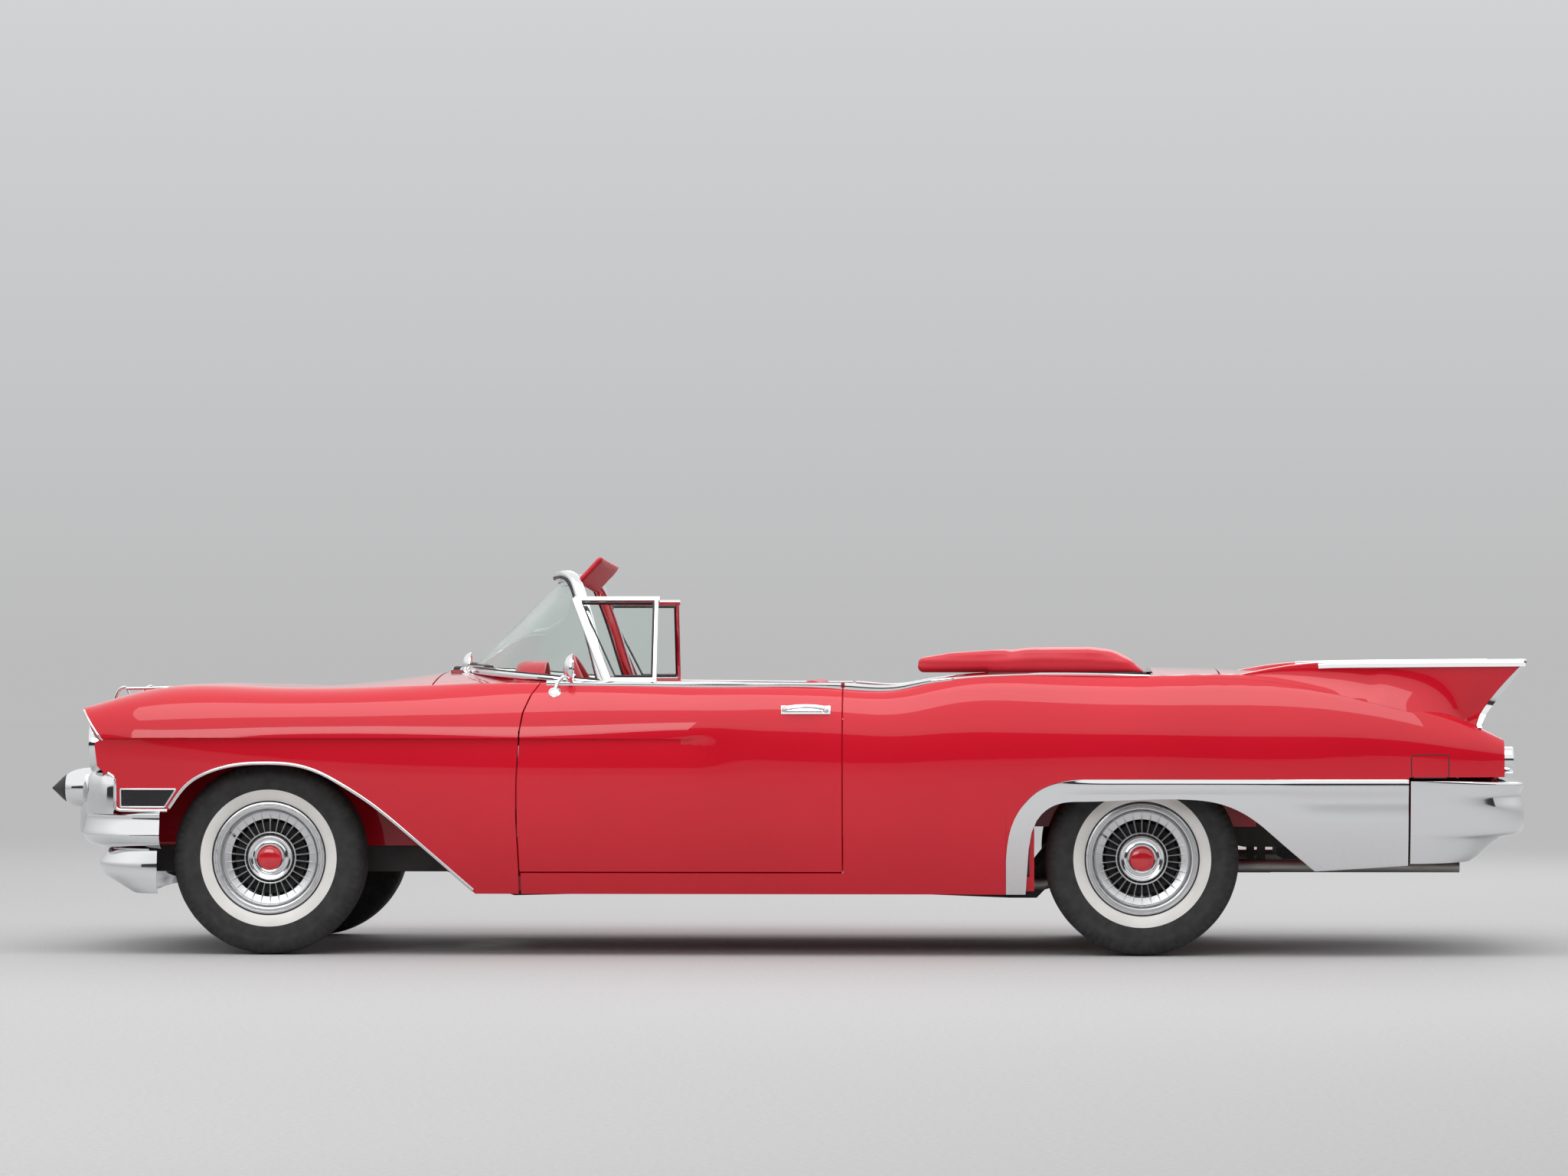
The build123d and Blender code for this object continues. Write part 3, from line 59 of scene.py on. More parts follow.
# %% Camera
CAMERA_AT = (0.809, -22.970, 1.120)
LENS_MM = 135.0
YAW_DEG = 2.074
PITCH_DEG = 0.680

camera_data = bpy.data.cameras.new("long_lens")
camera_data.lens = LENS_MM
camera_data.sensor_width = 36.0
camera_data.clip_end = 200.0
camera = bpy.data.objects.new("long_lens", camera_data)
camera.location = CAMERA_AT
camera.rotation_euler = (math.radians(90 + PITCH_DEG), 0, math.radians(YAW_DEG))
bpy.context.scene.collection.objects.link(camera)
bpy.context.scene.camera = camera
print("camera distance:", round(abs(CAMERA_AT[1]), 2), "m")

# %% [markdown]
# ## Finishes
# Every finish is a small node tree on the Principled shader. Noise breaks up the roughness, so that no
# surface is perfectly even, and a faint bump gives paint its ripple and leather its grain. Single numbers are
# set on the shader itself.


# %% A helper for node trees
def finish(name, color, roughness, metallic=0.0, coat=0.0, **sockets):
    """A Principled material with its main numbers set on the shader; returns it with its tree and shader."""
    material = bpy.data.materials.new(name)
    material.use_nodes = True
    tree = material.node_tree
    shader = tree.nodes["Principled BSDF"]
    shader.inputs["Base Color"].default_value = (*color, 1.0)
    shader.inputs["Roughness"].default_value = roughness
    shader.inputs["Metallic"].default_value = metallic
    shader.inputs["Coat Weight"].default_value = coat
    for socket, value in sockets.items():
        shader.inputs[socket.replace("_", " ")].default_value = value
    return material, tree, shader


def vary(tree, shader, socket, scale, low, high, detail=4.0, stretch=(1, 1, 1), coordinates="Object"):
    """Drive a socket with noise between two values; the mapping can stretch the noise along an axis."""
    where = tree.nodes.new("ShaderNodeTexCoord")
    mapping = tree.nodes.new("ShaderNodeMapping")
    mapping.inputs["Scale"].default_value = stretch
    noise = tree.nodes.new("ShaderNodeTexNoise")
    noise.inputs["Scale"].default_value = scale
    noise.inputs["Detail"].default_value = detail
    tree.links.new(where.outputs[coordinates], mapping.inputs["Vector"])
    tree.links.new(mapping.outputs["Vector"], noise.inputs["Vector"])
    if isinstance(low, tuple):
        ramp = tree.nodes.new("ShaderNodeValToRGB")
        ramp.color_ramp.elements[0].position = 0.3
        ramp.color_ramp.elements[1].position = 0.7
        ramp.color_ramp.elements[0].color = (*low, 1.0)
        ramp.color_ramp.elements[1].color = (*high, 1.0)
        tree.links.new(noise.outputs["Fac"], ramp.inputs["Fac"])
        tree.links.new(ramp.outputs["Color"], shader.inputs[socket])
    else:
        spread = tree.nodes.new("ShaderNodeMapRange")
        spread.inputs["From Min"].default_value = 0.3
        spread.inputs["From Max"].default_value = 0.7
        spread.inputs["To Min"].default_value = low
        spread.inputs["To Max"].default_value = high
        tree.links.new(noise.outputs["Fac"], spread.inputs["Value"])
        tree.links.new(spread.outputs["Result"], shader.inputs[socket])
    return noise


def grain(tree, shader, scale, strength, distance=0.001, kind="noise", stretch=(1, 1, 1)):
    """A bump from noise or cells, for ripple, leather grain or brushed metal."""
    where = tree.nodes.new("ShaderNodeTexCoord")
    mapping = tree.nodes.new("ShaderNodeMapping")
    mapping.inputs["Scale"].default_value = stretch
    bump = tree.nodes.new("ShaderNodeBump")
    bump.inputs["Strength"].default_value = strength
    bump.inputs["Distance"].default_value = distance
    if kind == "cells":
        texture = tree.nodes.new("ShaderNodeTexVoronoi")
        height = texture.outputs["Distance"]
    else:
        texture = tree.nodes.new("ShaderNodeTexNoise")
        texture.inputs["Detail"].default_value = 6.0
        height = texture.outputs["Fac"]
    texture.inputs["Scale"].default_value = scale
    tree.links.new(where.outputs["Object"], mapping.inputs["Vector"])
    tree.links.new(mapping.outputs["Vector"], texture.inputs["Vector"])
    tree.links.new(height, bump.inputs["Height"])
    tree.links.new(bump.outputs["Normal"], shader.inputs["Normal"])
    return bump


# %% Red enamel, chrome and the other hard finishes
red_enamel, tree, shader = finish("red_enamel", (0.60, 0.002, 0.016), 0.38, coat=1.0, Coat_Roughness=0.02,
                                  Specular_IOR_Level=0.12)
vary(tree, shader, "Base Color", 1.4, (0.57, 0.0015, 0.014), (0.63, 0.003, 0.019))
grain(tree, shader, 90, 0.02, 0.0004)

chrome_plate, tree, shader = finish("chrome_plate", (0.83, 0.84, 0.85), 0.06, metallic=1.0)
vary(tree, shader, "Roughness", 14, 0.04, 0.10)

brushed_aluminium, tree, shader = finish("brushed_aluminium", (0.72, 0.73, 0.74), 0.34, metallic=1.0)
vary(tree, shader, "Roughness", 60, 0.26, 0.42)
grain(tree, shader, 400, 0.08, 0.0003, stretch=(1, 12, 1))

tyre_black, tree, shader = finish("tyre_black", (0.022, 0.022, 0.023), 0.72)
vary(tree, shader, "Base Color", 26, (0.016, 0.016, 0.017), (0.034, 0.033, 0.032))
grain(tree, shader, 220, 0.15, 0.0008)

whitewall, tree, shader = finish("whitewall", (0.80, 0.79, 0.76), 0.55)
vary(tree, shader, "Base Color", 9, (0.74, 0.73, 0.69), (0.83, 0.82, 0.80))
grain(tree, shader, 150, 0.10, 0.0006)

black_rubber, tree, shader = finish("black_rubber", (0.025, 0.025, 0.027), 0.48)
vary(tree, shader, "Roughness", 30, 0.40, 0.60)

chassis_black, tree, shader = finish("chassis_black", (0.030, 0.029, 0.030), 0.55)
vary(tree, shader, "Base Color", 8, (0.020, 0.020, 0.021), (0.055, 0.050, 0.045))
grain(tree, shader, 60, 0.15, 0.001)

cast_blue, tree, shader = finish("cast_blue", (0.05, 0.08, 0.16), 0.5)
vary(tree, shader, "Base Color", 12, (0.035, 0.06, 0.12), (0.07, 0.10, 0.19))
grain(tree, shader, 120, 0.25, 0.001)

bare_steel, tree, shader = finish("bare_steel", (0.33, 0.32, 0.31), 0.45, metallic=0.9)
vary(tree, shader, "Roughness", 20, 0.35, 0.60)

clear_glass, tree, shader = finish("clear_glass", (0.92, 0.97, 0.95), 0.0, Transmission_Weight=1.0, IOR=1.10)
vary(tree, shader, "Roughness", 5, 0.0, 0.01)

lamp_glass, tree, shader = finish("lamp_glass", (0.93, 0.95, 0.97), 0.05, Transmission_Weight=0.75, IOR=1.45)
grain(tree, shader, 160, 0.5, 0.002, stretch=(0.1, 3, 0.3))

tail_glass, tree, shader = finish("tail_glass", (0.55, 0.01, 0.01), 0.08, coat=0.6, Transmission_Weight=0.25)
grain(tree, shader, 140, 0.4, 0.002, kind="cells")

# %% Leather and coated cloth
red_leather, tree, shader = finish("red_leather", (0.45, 0.012, 0.030), 0.48)
vary(tree, shader, "Base Color", 5, (0.38, 0.009, 0.024), (0.52, 0.016, 0.036))
grain(tree, shader, 420, 0.35, 0.0008, kind="cells")

red_vinyl, tree, shader = finish("red_vinyl", (0.58, 0.012, 0.030), 0.42, Sheen_Weight=0.15)
vary(tree, shader, "Base Color", 3, (0.52, 0.009, 0.025), (0.64, 0.016, 0.036))
grain(tree, shader, 520, 0.25, 0.0006, kind="cells")

SLOT_FINISH = {
    "paint": red_enamel, "chrome": chrome_plate, "brushed_wheel": brushed_aluminium, "tyre": tyre_black,
    "black_rubber": black_rubber, "clear_glass": clear_glass, "lamp_glass": lamp_glass,
    "tail_glass": tail_glass, "red_leather": red_leather, "red_vinyl": red_vinyl,
    "black_paint": chassis_black, "cast_engine": cast_blue, "steel": bare_steel,
}
for row in frame["record"]["subparts"]:
    node = frame["nodes"][row["node"]]
    for material_slot in node.material_slots:
        material_slot.material = SLOT_FINISH[row["material_slot"]]
print("finishes:", len(SLOT_FINISH))

# %% [markdown]
# ## Smooth curves through a few named sections
# The real body was drawn as full-size cross-sections faired into each other. The same is done here: a short
# table holds the numbers of each section, and a natural cubic curve runs through each column of the table.


# %% Curves through tables
def fair_curve(xs, ys):
    """A natural cubic curve through the points; returns a function of x."""
    xs = np.asarray(xs, float)
    ys = np.asarray(ys, float)
    count = len(xs)
    gaps = np.diff(xs)
    system = np.eye(count)
    right = np.zeros(count)
    for i in range(1, count - 1):
        system[i, i - 1] = gaps[i - 1]
        system[i, i] = 2 * (gaps[i - 1] + gaps[i])
        system[i, i + 1] = gaps[i]
        right[i] = 6 * ((ys[i + 1] - ys[i]) / gaps[i] - (ys[i] - ys[i - 1]) / gaps[i - 1])
    bend = np.linalg.solve(system, right)

    def at(x):
        x = np.asarray(x, float)
        i = np.clip(np.searchsorted(xs, x) - 1, 0, count - 2)
        gap = gaps[i]
        left, rest = x - xs[i], xs[i + 1] - x
        cubic = (bend[i] * rest**3 + bend[i + 1] * left**3) / (6 * gap)
        linear = (ys[i] / gap - bend[i] * gap / 6) * rest + (ys[i + 1] / gap - bend[i + 1] * gap / 6) * left
        return cubic + linear

    return at


def chord_lengths(points):
    """How far along a run of points each one lies."""
    return np.concatenate([[0], np.cumsum(np.linalg.norm(np.diff(points, axis=0), axis=1))])


def ease(t):
    """A soft start and a soft stop between 0 and 1."""
    return t * t * (3 - 2 * t)


def arc_points(start, middle, end, count):
    """Points along the circle arc through three points."""
    (ax, ay), (bx, by), (cx, cy) = start, middle, end
    d = 2 * (ax * (by - cy) + bx * (cy - ay) + cx * (ay - by))
    if abs(d) < 1e-9:
        return [(ax + (cx - ax) * t, ay + (cy - ay) * t) for t in np.linspace(0, 1, count)]
    ux = ((ax**2 + ay**2) * (by - cy) + (bx**2 + by**2) * (cy - ay) + (cx**2 + cy**2) * (ay - by)) / d
    uy = ((ax**2 + ay**2) * (cx - bx) + (bx**2 + by**2) * (ax - cx) + (cx**2 + cy**2) * (bx - ax)) / d
    radius = math.hypot(ax - ux, ay - uy)
    first = math.atan2(ay - uy, ax - ux)
    sweep_mid = (math.atan2(by - uy, bx - ux) - first) % (2 * math.pi)
    sweep = (math.atan2(cy - uy, cx - ux) - first) % (2 * math.pi)
    if sweep_mid > sweep:
        sweep -= 2 * math.pi
    return [(ux + radius * math.cos(first + sweep * t), uy + radius * math.sin(first + sweep * t))
            for t in np.linspace(0, 1, count)]


# %% The body side as cross-sections
SILL_Z = 233.0
BELLY_Z = 520.0
BULGE_RISE = 20.0
LOWER_COUNT = 40  # points from the sill to the crease
UPPER_COUNT = 25  # points from the crease to the crown
CROWN_COUNT = LOWER_COUNT + UPPER_COUNT
CREASE = LOWER_COUNT - 1
# From CREASE_END_X back the crease fades out, fully so after CREASE_FADE, by smoothing the points round it
CREASE_END_X = -330
CREASE_FADE = 260
RUB_FROM, RUB_TO = 18, 58
RUB_STEPS = 60
# x, sill_y, belly_y, crease_y, crease_z, ledge, bulge_y, crown_y, crown_z, rim_y, rim_z
BODY_SECTIONS = (
    (-2650, 860, 905, 925, 812, 10, 915, 790, 922, 626, 916),
    (-2480, 875, 930, 950, 812, 14, 925, 800, 981, 676, 972),
    (-1936, 900, 965, 980, 812, 16, 955, 815, 1010, 686, 998),
    (-1000, 915, 990, 1000, 812, 14, 975, 890, 1025, 820, 1027),
    (-200, 918, 996, 1006, 812, 4, 985, 905, 1014, 840, 1016),
    (230, 918, 998, 1008, 805, 2, 985, 905, 1004, 840, 1007),
    (420, 918, 998, 1009, 800, 2, 983, 900, 1000, 820, 1004),
    (620, 918, 998, 1010, 795, 2, 985, 895, 1042, 808, 1046),
    (960, 917, 997, 1011, 790, 2, 985, 890, 1057, 802, 1059),
    (1353, 915, 995, 1012, 785, 2, 985, 885, 1052, 796, 1056),
    (1850, 905, 985, 1000, 780, 2, 972, 870, 1052, 686, 1046),
    (2350, 880, 960, 975, 765, 2, 958, 880, 955, 682, 940),
    (2600, 850, 925, 940, 755, 2, 922, 860, 868, 682, 800),
    (2705, 820, 890, 905, 745, 2, 893, 845, 812, 682, 720),
)
columns = list(zip(*BODY_SECTIONS))
section_at = [fair_curve(columns[0], values) for values in columns[1:]]
SECTION_ROWS = 64


def side_section(x, proud=0.0):
    """The right body side at x as (y, z) points, from the sill up over the crown to the inner rim."""
    sill_y, belly_y, crease_y, crease_z, ledge, bulge_y, crown_y, crown_z, rim_y, rim_z = (
        float(value(x)) for value in section_at)
    bulge_z = (crease_z + crown_z) / 2 + BULGE_RISE
    lower = arc_points((sill_y + proud, SILL_Z), (belly_y + proud, BELLY_Z), (crease_y + proud, crease_z),
                       LOWER_COUNT)
    start = (crease_y + ledge + proud, crease_z + ledge / 2)
    upper = arc_points(start, (bulge_y + proud, bulge_z), (crown_y + proud / 2, crown_z + proud),
                       UPPER_COUNT)
    # the crease runs out on the door: behind it the fold is rubbed away, a little at a time
    soft = min(max((x - CREASE_END_X) / CREASE_FADE, 0.0), 1.0) * 0.5
    side = np.array(lower + upper)
    fold = side[RUB_FROM:RUB_TO]
    for _ in range(RUB_STEPS if soft else 0):
        fold += soft * ((side[RUB_FROM - 1:RUB_TO - 1] + side[RUB_FROM + 1:RUB_TO + 1]) / 2 - fold)
    return [tuple(p) for p in side] + [(rim_y, rim_z + proud)]


section_cache = {}


def side_point(x, z_or_share, proud=0.0, share=False):
    """A point on the body side at x: at height z below the crown, or at a share of the way round."""
    key = (round(x, 2), proud)
    if key not in section_cache:
        points = np.array(side_section(x, proud))
        lengths = np.concatenate([[0], np.cumsum(np.hypot(*np.diff(points, axis=0).T))])
        section_cache[key] = (points, lengths / lengths[-1])
    points, along = section_cache[key]
    if not share:
        z_or_share = np.interp(z_or_share, points[:CROWN_COUNT, 1], along[:CROWN_COUNT])
    y = np.interp(z_or_share, along, points[:, 0])
    z = np.interp(z_or_share, along, points[:, 1])
    return y, z


print("section at the front axle:", len(side_section(-1936.0)), "points")

# %% [markdown]
# ## Panels as grids with clean edges
# Cutting a glossy panel out of a surface with a boolean leaves ragged shading at the cut. Here each panel is
# a grid whose own edges follow the shut lines: its columns run up the section at one x, and the first and
# last columns bend to the panel's front and rear outline. Solidify then gives it the thickness of sheet with
# its turned flange.


# %% Panel grids
def new_object(name, vertices, faces, material, smooth_deg=35.0):
    """A mesh object in metres from vertices in millimetres, smooth-shaded below an angle."""
    mesh = bpy.data.meshes.new(name)
    mesh.from_pydata([tuple(c * MM for c in v) for v in vertices], [], faces)
    mesh.update()
    obj = bpy.data.objects.new(name, mesh)
    bpy.context.scene.collection.objects.link(obj)
    mesh.materials.append(material)
    shade(obj, smooth_deg)
    return obj


def shade(obj, smooth_deg=35.0):
    """Smooth shading with sharp edges above an angle."""
    mesh = obj.data
    mesh.polygons.foreach_set("use_smooth", [True] * len(mesh.polygons))
    mesh.set_sharp_from_angle(angle=math.radians(smooth_deg))


def tidy(obj, weld=True):
    """Weld doubled points and turn every face outwards."""
    bm = bmesh.new()
    bm.from_mesh(obj.data)
    if weld:
        bmesh.ops.remove_doubles(bm, verts=bm.verts, dist=1e-5)
    bmesh.ops.recalc_face_normals(bm, faces=bm.faces)
    bm.to_mesh(obj.data)
    bm.free()
    return obj


def apply_modifiers(obj):
    """Bake the object's modifiers into its mesh."""
    depsgraph = bpy.context.evaluated_depsgraph_get()
    mesh = bpy.data.meshes.new_from_object(obj.evaluated_get(depsgraph))
    old = obj.data
    obj.modifiers.clear()
    obj.data = mesh
    bpy.data.meshes.remove(old)
    return obj


def thicken(obj, thickness_mm, smooth_deg=35.0, bevel_mm=0.0):
    """Solidify inwards from the modelled face, with an optional rounded edge."""
    solidify = obj.modifiers.new("sheet", "SOLIDIFY")
    solidify.thickness = thickness_mm * MM
    solidify.offset = -1.0
    solidify.use_even_offset = False
    if bevel_mm:
        bevel = obj.modifiers.new("edge", "BEVEL")
        bevel.width = bevel_mm * MM
        bevel.segments = 2
        bevel.limit_method = "ANGLE"
        bevel.angle_limit = math.radians(50)
    apply_modifiers(obj)
    shade(obj, smooth_deg)
    return obj


def mirror_copy(obj, name):
    """The left-hand twin of a right-hand piece, as its own mesh."""
    mesh = obj.data.copy()
    mesh.transform(Matrix.Diagonal((1, -1, 1, 1)))
    mesh.flip_normals()
    twin = bpy.data.objects.new(name, mesh)
    bpy.context.scene.collection.objects.link(twin)
    return twin


def grid_faces(columns, rows, closed=False):
    """Quads of a grid stored column by column."""
    faces = []
    for i in range(columns if closed else columns - 1):
        for j in range(rows - 1):
            a, b = i * rows + j, ((i + 1) % columns) * rows + j
            faces.append((a, b, b + 1, a + 1))
    return faces


def ring_faces(columns, rows):
    """Quads of a closed profile carried along a path, stored ring by ring."""
    faces = []
    for i in range(columns - 1):
        for j in range(rows):
            a, b = i * rows + j, i * rows + (j + 1) % rows
            faces.append((a, b, b + rows, a + rows))
    return faces


def seam_faces(columns, rows):
    """Quads that join the last row of a grid to its first."""
    return [(i * rows, (i + 1) * rows, (i + 2) * rows - 1, (i + 1) * rows - 1) for i in range(columns - 1)]


def side_panel(name, xs, low=None, left=None, right=None, fade=160.0, rows=SECTION_ROWS, inner=None,
               proud=0.0, material=None, high=None):
    """A grid on the right body side: columns at xs, from low(x) up to high(x) or over the crown to inner(x).

    left and right give the outline's x at a height; columns within fade of an end bend towards it.
    """
    xs = np.asarray(xs, float)
    vertices = []
    for x in xs:
        bottom = SILL_Z if low is None else float(low(x))
        y0, z0 = side_point(x, bottom, proud)
        points, along = section_cache[(round(x, 2), proud)]
        first = np.interp(bottom, points[:CROWN_COUNT, 1], along[:CROWN_COUNT])
        last = 1.0
        if high is not None:
            last = np.interp(float(high(x)), points[:CROWN_COUNT, 1], along[:CROWN_COUNT])
        elif inner is not None:
            over = (points[-2, 0] - float(inner(x))) / (points[-2, 0] - points[-1, 0])
            last = along[-2] + min(over, 1.0) * (1 - along[-2])
        # one row each side of the crease, so the fold stays straight
        creased = first < along[CREASE] - 0.02 and last > along[CREASE + 1] + 0.02
        lower_rows = rows * 2 // 5 if creased else 0
        for row in range(rows):
            if row < lower_rows:
                part = row / (lower_rows - 1)
                share = first + part * (along[CREASE] - first)
            else:
                part = (row - lower_rows) / (rows - 1 - lower_rows)
                start = along[CREASE + 1] if creased else first
                share = start + part * (last - start)
            z = np.interp(share, along, points[:, 1])
            moved = x
            if left is not None and x - xs[0] < fade:
                moved += (left(z) - xs[0]) * (1 - (x - xs[0]) / fade)
            if right is not None and xs[-1] - x < fade:
                moved += (right(z) - xs[-1]) * (1 - (xs[-1] - x) / fade)
            if moved != x:
                side_point(moved, 500, proud)
                there = section_cache[(round(moved, 2), proud)][1]
                if creased:
                    share = (first + part * (there[CREASE] - first) if row < lower_rows
                             else there[CREASE + 1] + part * (last - there[CREASE + 1]))
                y, z2 = side_point(moved, share, proud, share=True)
            else:
                y, z2 = np.interp(share, along, points[:, 0]), z
            vertices.append((moved, y, z2))
    panel = new_object(name, vertices, grid_faces(len(xs), rows), material or red_enamel)
    panel.data.flip_normals()
    return panel


def stations(*breaks, step=40.0):
    """Column places between the given breaks, about a step apart."""
    xs = []
    for a, b in zip(breaks, breaks[1:]):
        count = max(1, round((b - a) / step))
        xs.extend(a + (b - a) * i / count for i in range(count))
    xs.append(breaks[-1])
    return xs


# %% [markdown]
# ## Fenders, doors and quarters
# These are the car's long red sides. Their outlines are the shut lines of the real panels: the door's front
# edge leans forward as it drops, the arch over the front wheel is one long open curve, and the quarter runs
# from the door to the tail above its bright lower panel.

# %% Outlines of the side panels, as (x, z) in millimetres
DOOR_FRONT = ((-981, 318), (-989, 525), (-987, 673), (-976, 843), (-963, 917), (-936, 981), (-880, 1060))
FENDER_NOSE = ((-2515, 552), (-2518, 662), (-2577, 710), (-2588, 800), (-2562, 808), (-2639, 926))
FRONT_ARCH = ((-2302, 548), (-2253, 616), (-2177, 673), (-2063, 709), (-1930, 718), (-1826, 711),
              (-1731, 682), (-1636, 630), (-1541, 568), (-1429, 478), (-1151, 233))
TRIM_ARCH = ((842, 233), (846, 407), (861, 484), (899, 560), (961, 622), (1037, 654), (1129, 666), (1300, 666))
REAR_ARCH = ((916, 233), (926, 392), (938, 469), (976, 537), (1037, 574), (1129, 583), (1513, 591),
             (1627, 578), (1743, 530), (1858, 438), (1995, 322))
SHUT = 6.0
DOOR_REAR_X = 228.0
DOOR_BOTTOM_Z = 318.0
TRIM_TOP_Z = 666.0
TRIM_END_X = 2343.0
TAIL_LOW_Z = 674.0
TAIL_X = 2705.0
SKIN = 24.0


def outline_x(points, shift=0.0):
    """x of a mostly upright outline, as a function of height."""
    ordered = sorted(points, key=lambda p: p[1])
    zs = [p[1] for p in ordered]
    xs = [p[0] + shift for p in ordered]
    return lambda z: float(np.interp(z, zs, xs))


door_front = outline_x(DOOR_FRONT)
fender_rear = outline_x(DOOR_FRONT + ((-981, 233),), -SHUT)
nose = outline_x(FENDER_NOSE)
arch = fair_curve(*zip(*FRONT_ARCH))


def fender_low(x):
    """Lower edge of the front fender: the lip ahead of the wheel, the arch, then the sill."""
    if x < FRONT_ARCH[0][0]:
        return 549.0
    return max(SILL_Z, float(arch(x))) if x < FRONT_ARCH[-1][0] else SILL_Z


def smooth_outline(points, count=90):
    """A flowing line through outline points, as dense xs and zs whose xs never run back."""
    points = np.array(points, float)
    chord = chord_lengths(points)
    steps = np.linspace(0, chord[-1], count)
    return np.maximum.accumulate(fair_curve(chord, points[:, 0])(steps)), fair_curve(chord, points[:, 1])(steps)


TRIM_LINE = smooth_outline(TRIM_ARCH)
ARCH_LINE = smooth_outline(REAR_ARCH)


def trim_edge(x):
    """Lower edge of the red quarter where it meets the bright panel."""
    if x <= TRIM_ARCH[0][0]:
        return SILL_Z
    return min(float(np.interp(x, *TRIM_LINE)), TRIM_TOP_Z) if x < TRIM_END_X + 2 else TAIL_LOW_Z


HOOD_EDGE = ((-2700, 636), (-2480, 684), (-1936, 694), (-1324, 786), (-990, 822))
DECK_EDGE = ((640, 796), (1000, 800), (1353, 790), (1656, 735), (1850, 692), (2350, 684), (2750, 684))
DOOR_INNER_Y = 850.0
hood_edge = fair_curve(*zip(*HOOD_EDGE))
deck_edge = fair_curve(*zip(*DECK_EDGE))
LID_EDGE = ((1600, 733), (1656, 725), (1750, 709), (1850, 692), (2350, 684), (2750, 684))
lid_edge = fair_curve(*zip(*LID_EDGE))


def close_inwards(obj, inner_y, columns, rows):
    """Turn an outer skin grid into a closed slab whose back is flat at inner_y; the back gets slot 1."""
    bm = bmesh.new()
    bm.from_mesh(obj.data)
    bm.verts.ensure_lookup_table()
    outer = list(bm.verts)
    back = [bm.verts.new((v.co.x, inner_y * MM, v.co.z)) for v in outer]
    faces = list(bm.faces)
    for face in faces:
        corners = [back[v.index] for v in reversed(face.verts)]
        twin = bm.faces.new(corners)
        twin.material_index = 1
    ring = [i * rows for i in range(columns)] + [(columns - 1) * rows + j for j in range(1, rows)]
    ring += [i * rows + rows - 1 for i in range(columns - 2, -1, -1)] + list(range(rows - 2, 0, -1))
    for k, a in enumerate(ring):
        b = ring[(k + 1) % len(ring)]
        bm.faces.new((outer[b], outer[a], back[a], back[b]))
    bmesh.ops.recalc_face_normals(bm, faces=bm.faces)
    bm.to_mesh(obj.data)
    bm.free()
    obj.data.materials.append(red_leather)
    shade(obj, 35)


# %% Build them
fender_xs = stations(-2530, -2302, -2063, -1826, -1429, -1151, -1101, step=24) + [-1061, -1021, -987]
front_fender = side_panel("front_fender_right_panel", fender_xs, low=fender_low, left=nose, right=fender_rear,
                          fade=140, inner=lambda x: hood_edge(x) + SHUT)
thicken(front_fender, SKIN)
door_xs = stations(-985, DOOR_REAR_X, step=30)
door = side_panel("door_right_panel", door_xs, low=lambda x: DOOR_BOTTOM_Z, left=door_front, fade=150)
close_inwards(door, DOOR_INNER_Y, len(door_xs), SECTION_ROWS)
quarter_xs = [DOOR_REAR_X + SHUT] + stations(260, 841.5, step=32) + [
    842.5, 845.5, 847, 854, 861, 874, 887, 899, 920, 940] + stations(961, 1129, 1700, 2343, step=26) + stations(
    2347, 2600, TAIL_X, step=22)
rear_quarter = side_panel("rear_quarter_right_panel", quarter_xs, low=trim_edge,
                          inner=lambda x: deck_edge(x) + SHUT if x > 700 else 0)
thicken(rear_quarter, SKIN)
rocker = side_panel("rocker_right_panel", stations(-978, DOOR_REAR_X + SHUT, step=40),
                    high=lambda x: DOOR_BOTTOM_Z - SHUT, rows=10)
thicken(rocker, SKIN)
print("side panels:", front_fender.name, door.name, rear_quarter.name)

# %% [markdown]
# ## Hood, cowl, deck and trunk lid
# These four lie across the car. Each cross-section is one shallow arc, so a section needs only its half
# width, its height at the edge and its height in the middle. The panels end where the fenders begin, on the
# same plan curves, which keeps the shut lines even.

# %% Crowned panels, as x, half_width, edge_z, centre_z
HOOD_SECTIONS = ((-2610, 670, 912, 938), (-2480, 704, 965, 985), (-1936, 714, 990, 1010), (-1330, 805, 1012, 1066))
DECK_SECTIONS = ((1398, 822, 1050, 1084), (1650, 768, 1046, 1078))
LID_SECTIONS = ((1656, 756, 1046, 1078), (1850, 712, 1040, 1065), (2350, 704, 934, 962),
                (2600, 704, 794, 820), (2690, 704, 724, 742))


def crown_height(sections):
    """The height of a crowned panel at x and y."""
    xs, half_widths, edges, centres = zip(*sections)
    curves = [fair_curve(xs, values) for values in (half_widths, edges, centres)]

    def height(x, y):
        half, edge, centre = (float(curve(x)) for curve in curves)
        rise = centre - edge
        radius = (half**2 + rise**2) / (2 * rise)
        return centre - radius + math.sqrt(max(radius**2 - y**2, 0.0))

    return height


def crowned(name, sections, xs, edge, across=49, shape=None, material=None, thickness=18.0):
    """A panel across the car, its columns running from one side edge to the other."""
    height = crown_height(sections)
    vertices = []
    for x in xs:
        half = float(edge(x))
        for share in np.linspace(-1, 1, across):
            y = half * share
            z = height(x, y) + (shape(x, y) if shape else 0.0)
            vertices.append((x, y, z))
    obj = new_object(name, vertices, grid_faces(len(xs), across), material or red_enamel)
    bm = bmesh.new()
    bm.from_mesh(obj.data)
    bmesh.ops.recalc_face_normals(bm, faces=bm.faces)
    if sum(f.normal.z for f in bm.faces) < 0:
        bmesh.ops.reverse_faces(bm, faces=bm.faces)
    bm.to_mesh(obj.data)
    bm.free()
    return thicken(obj, thickness)


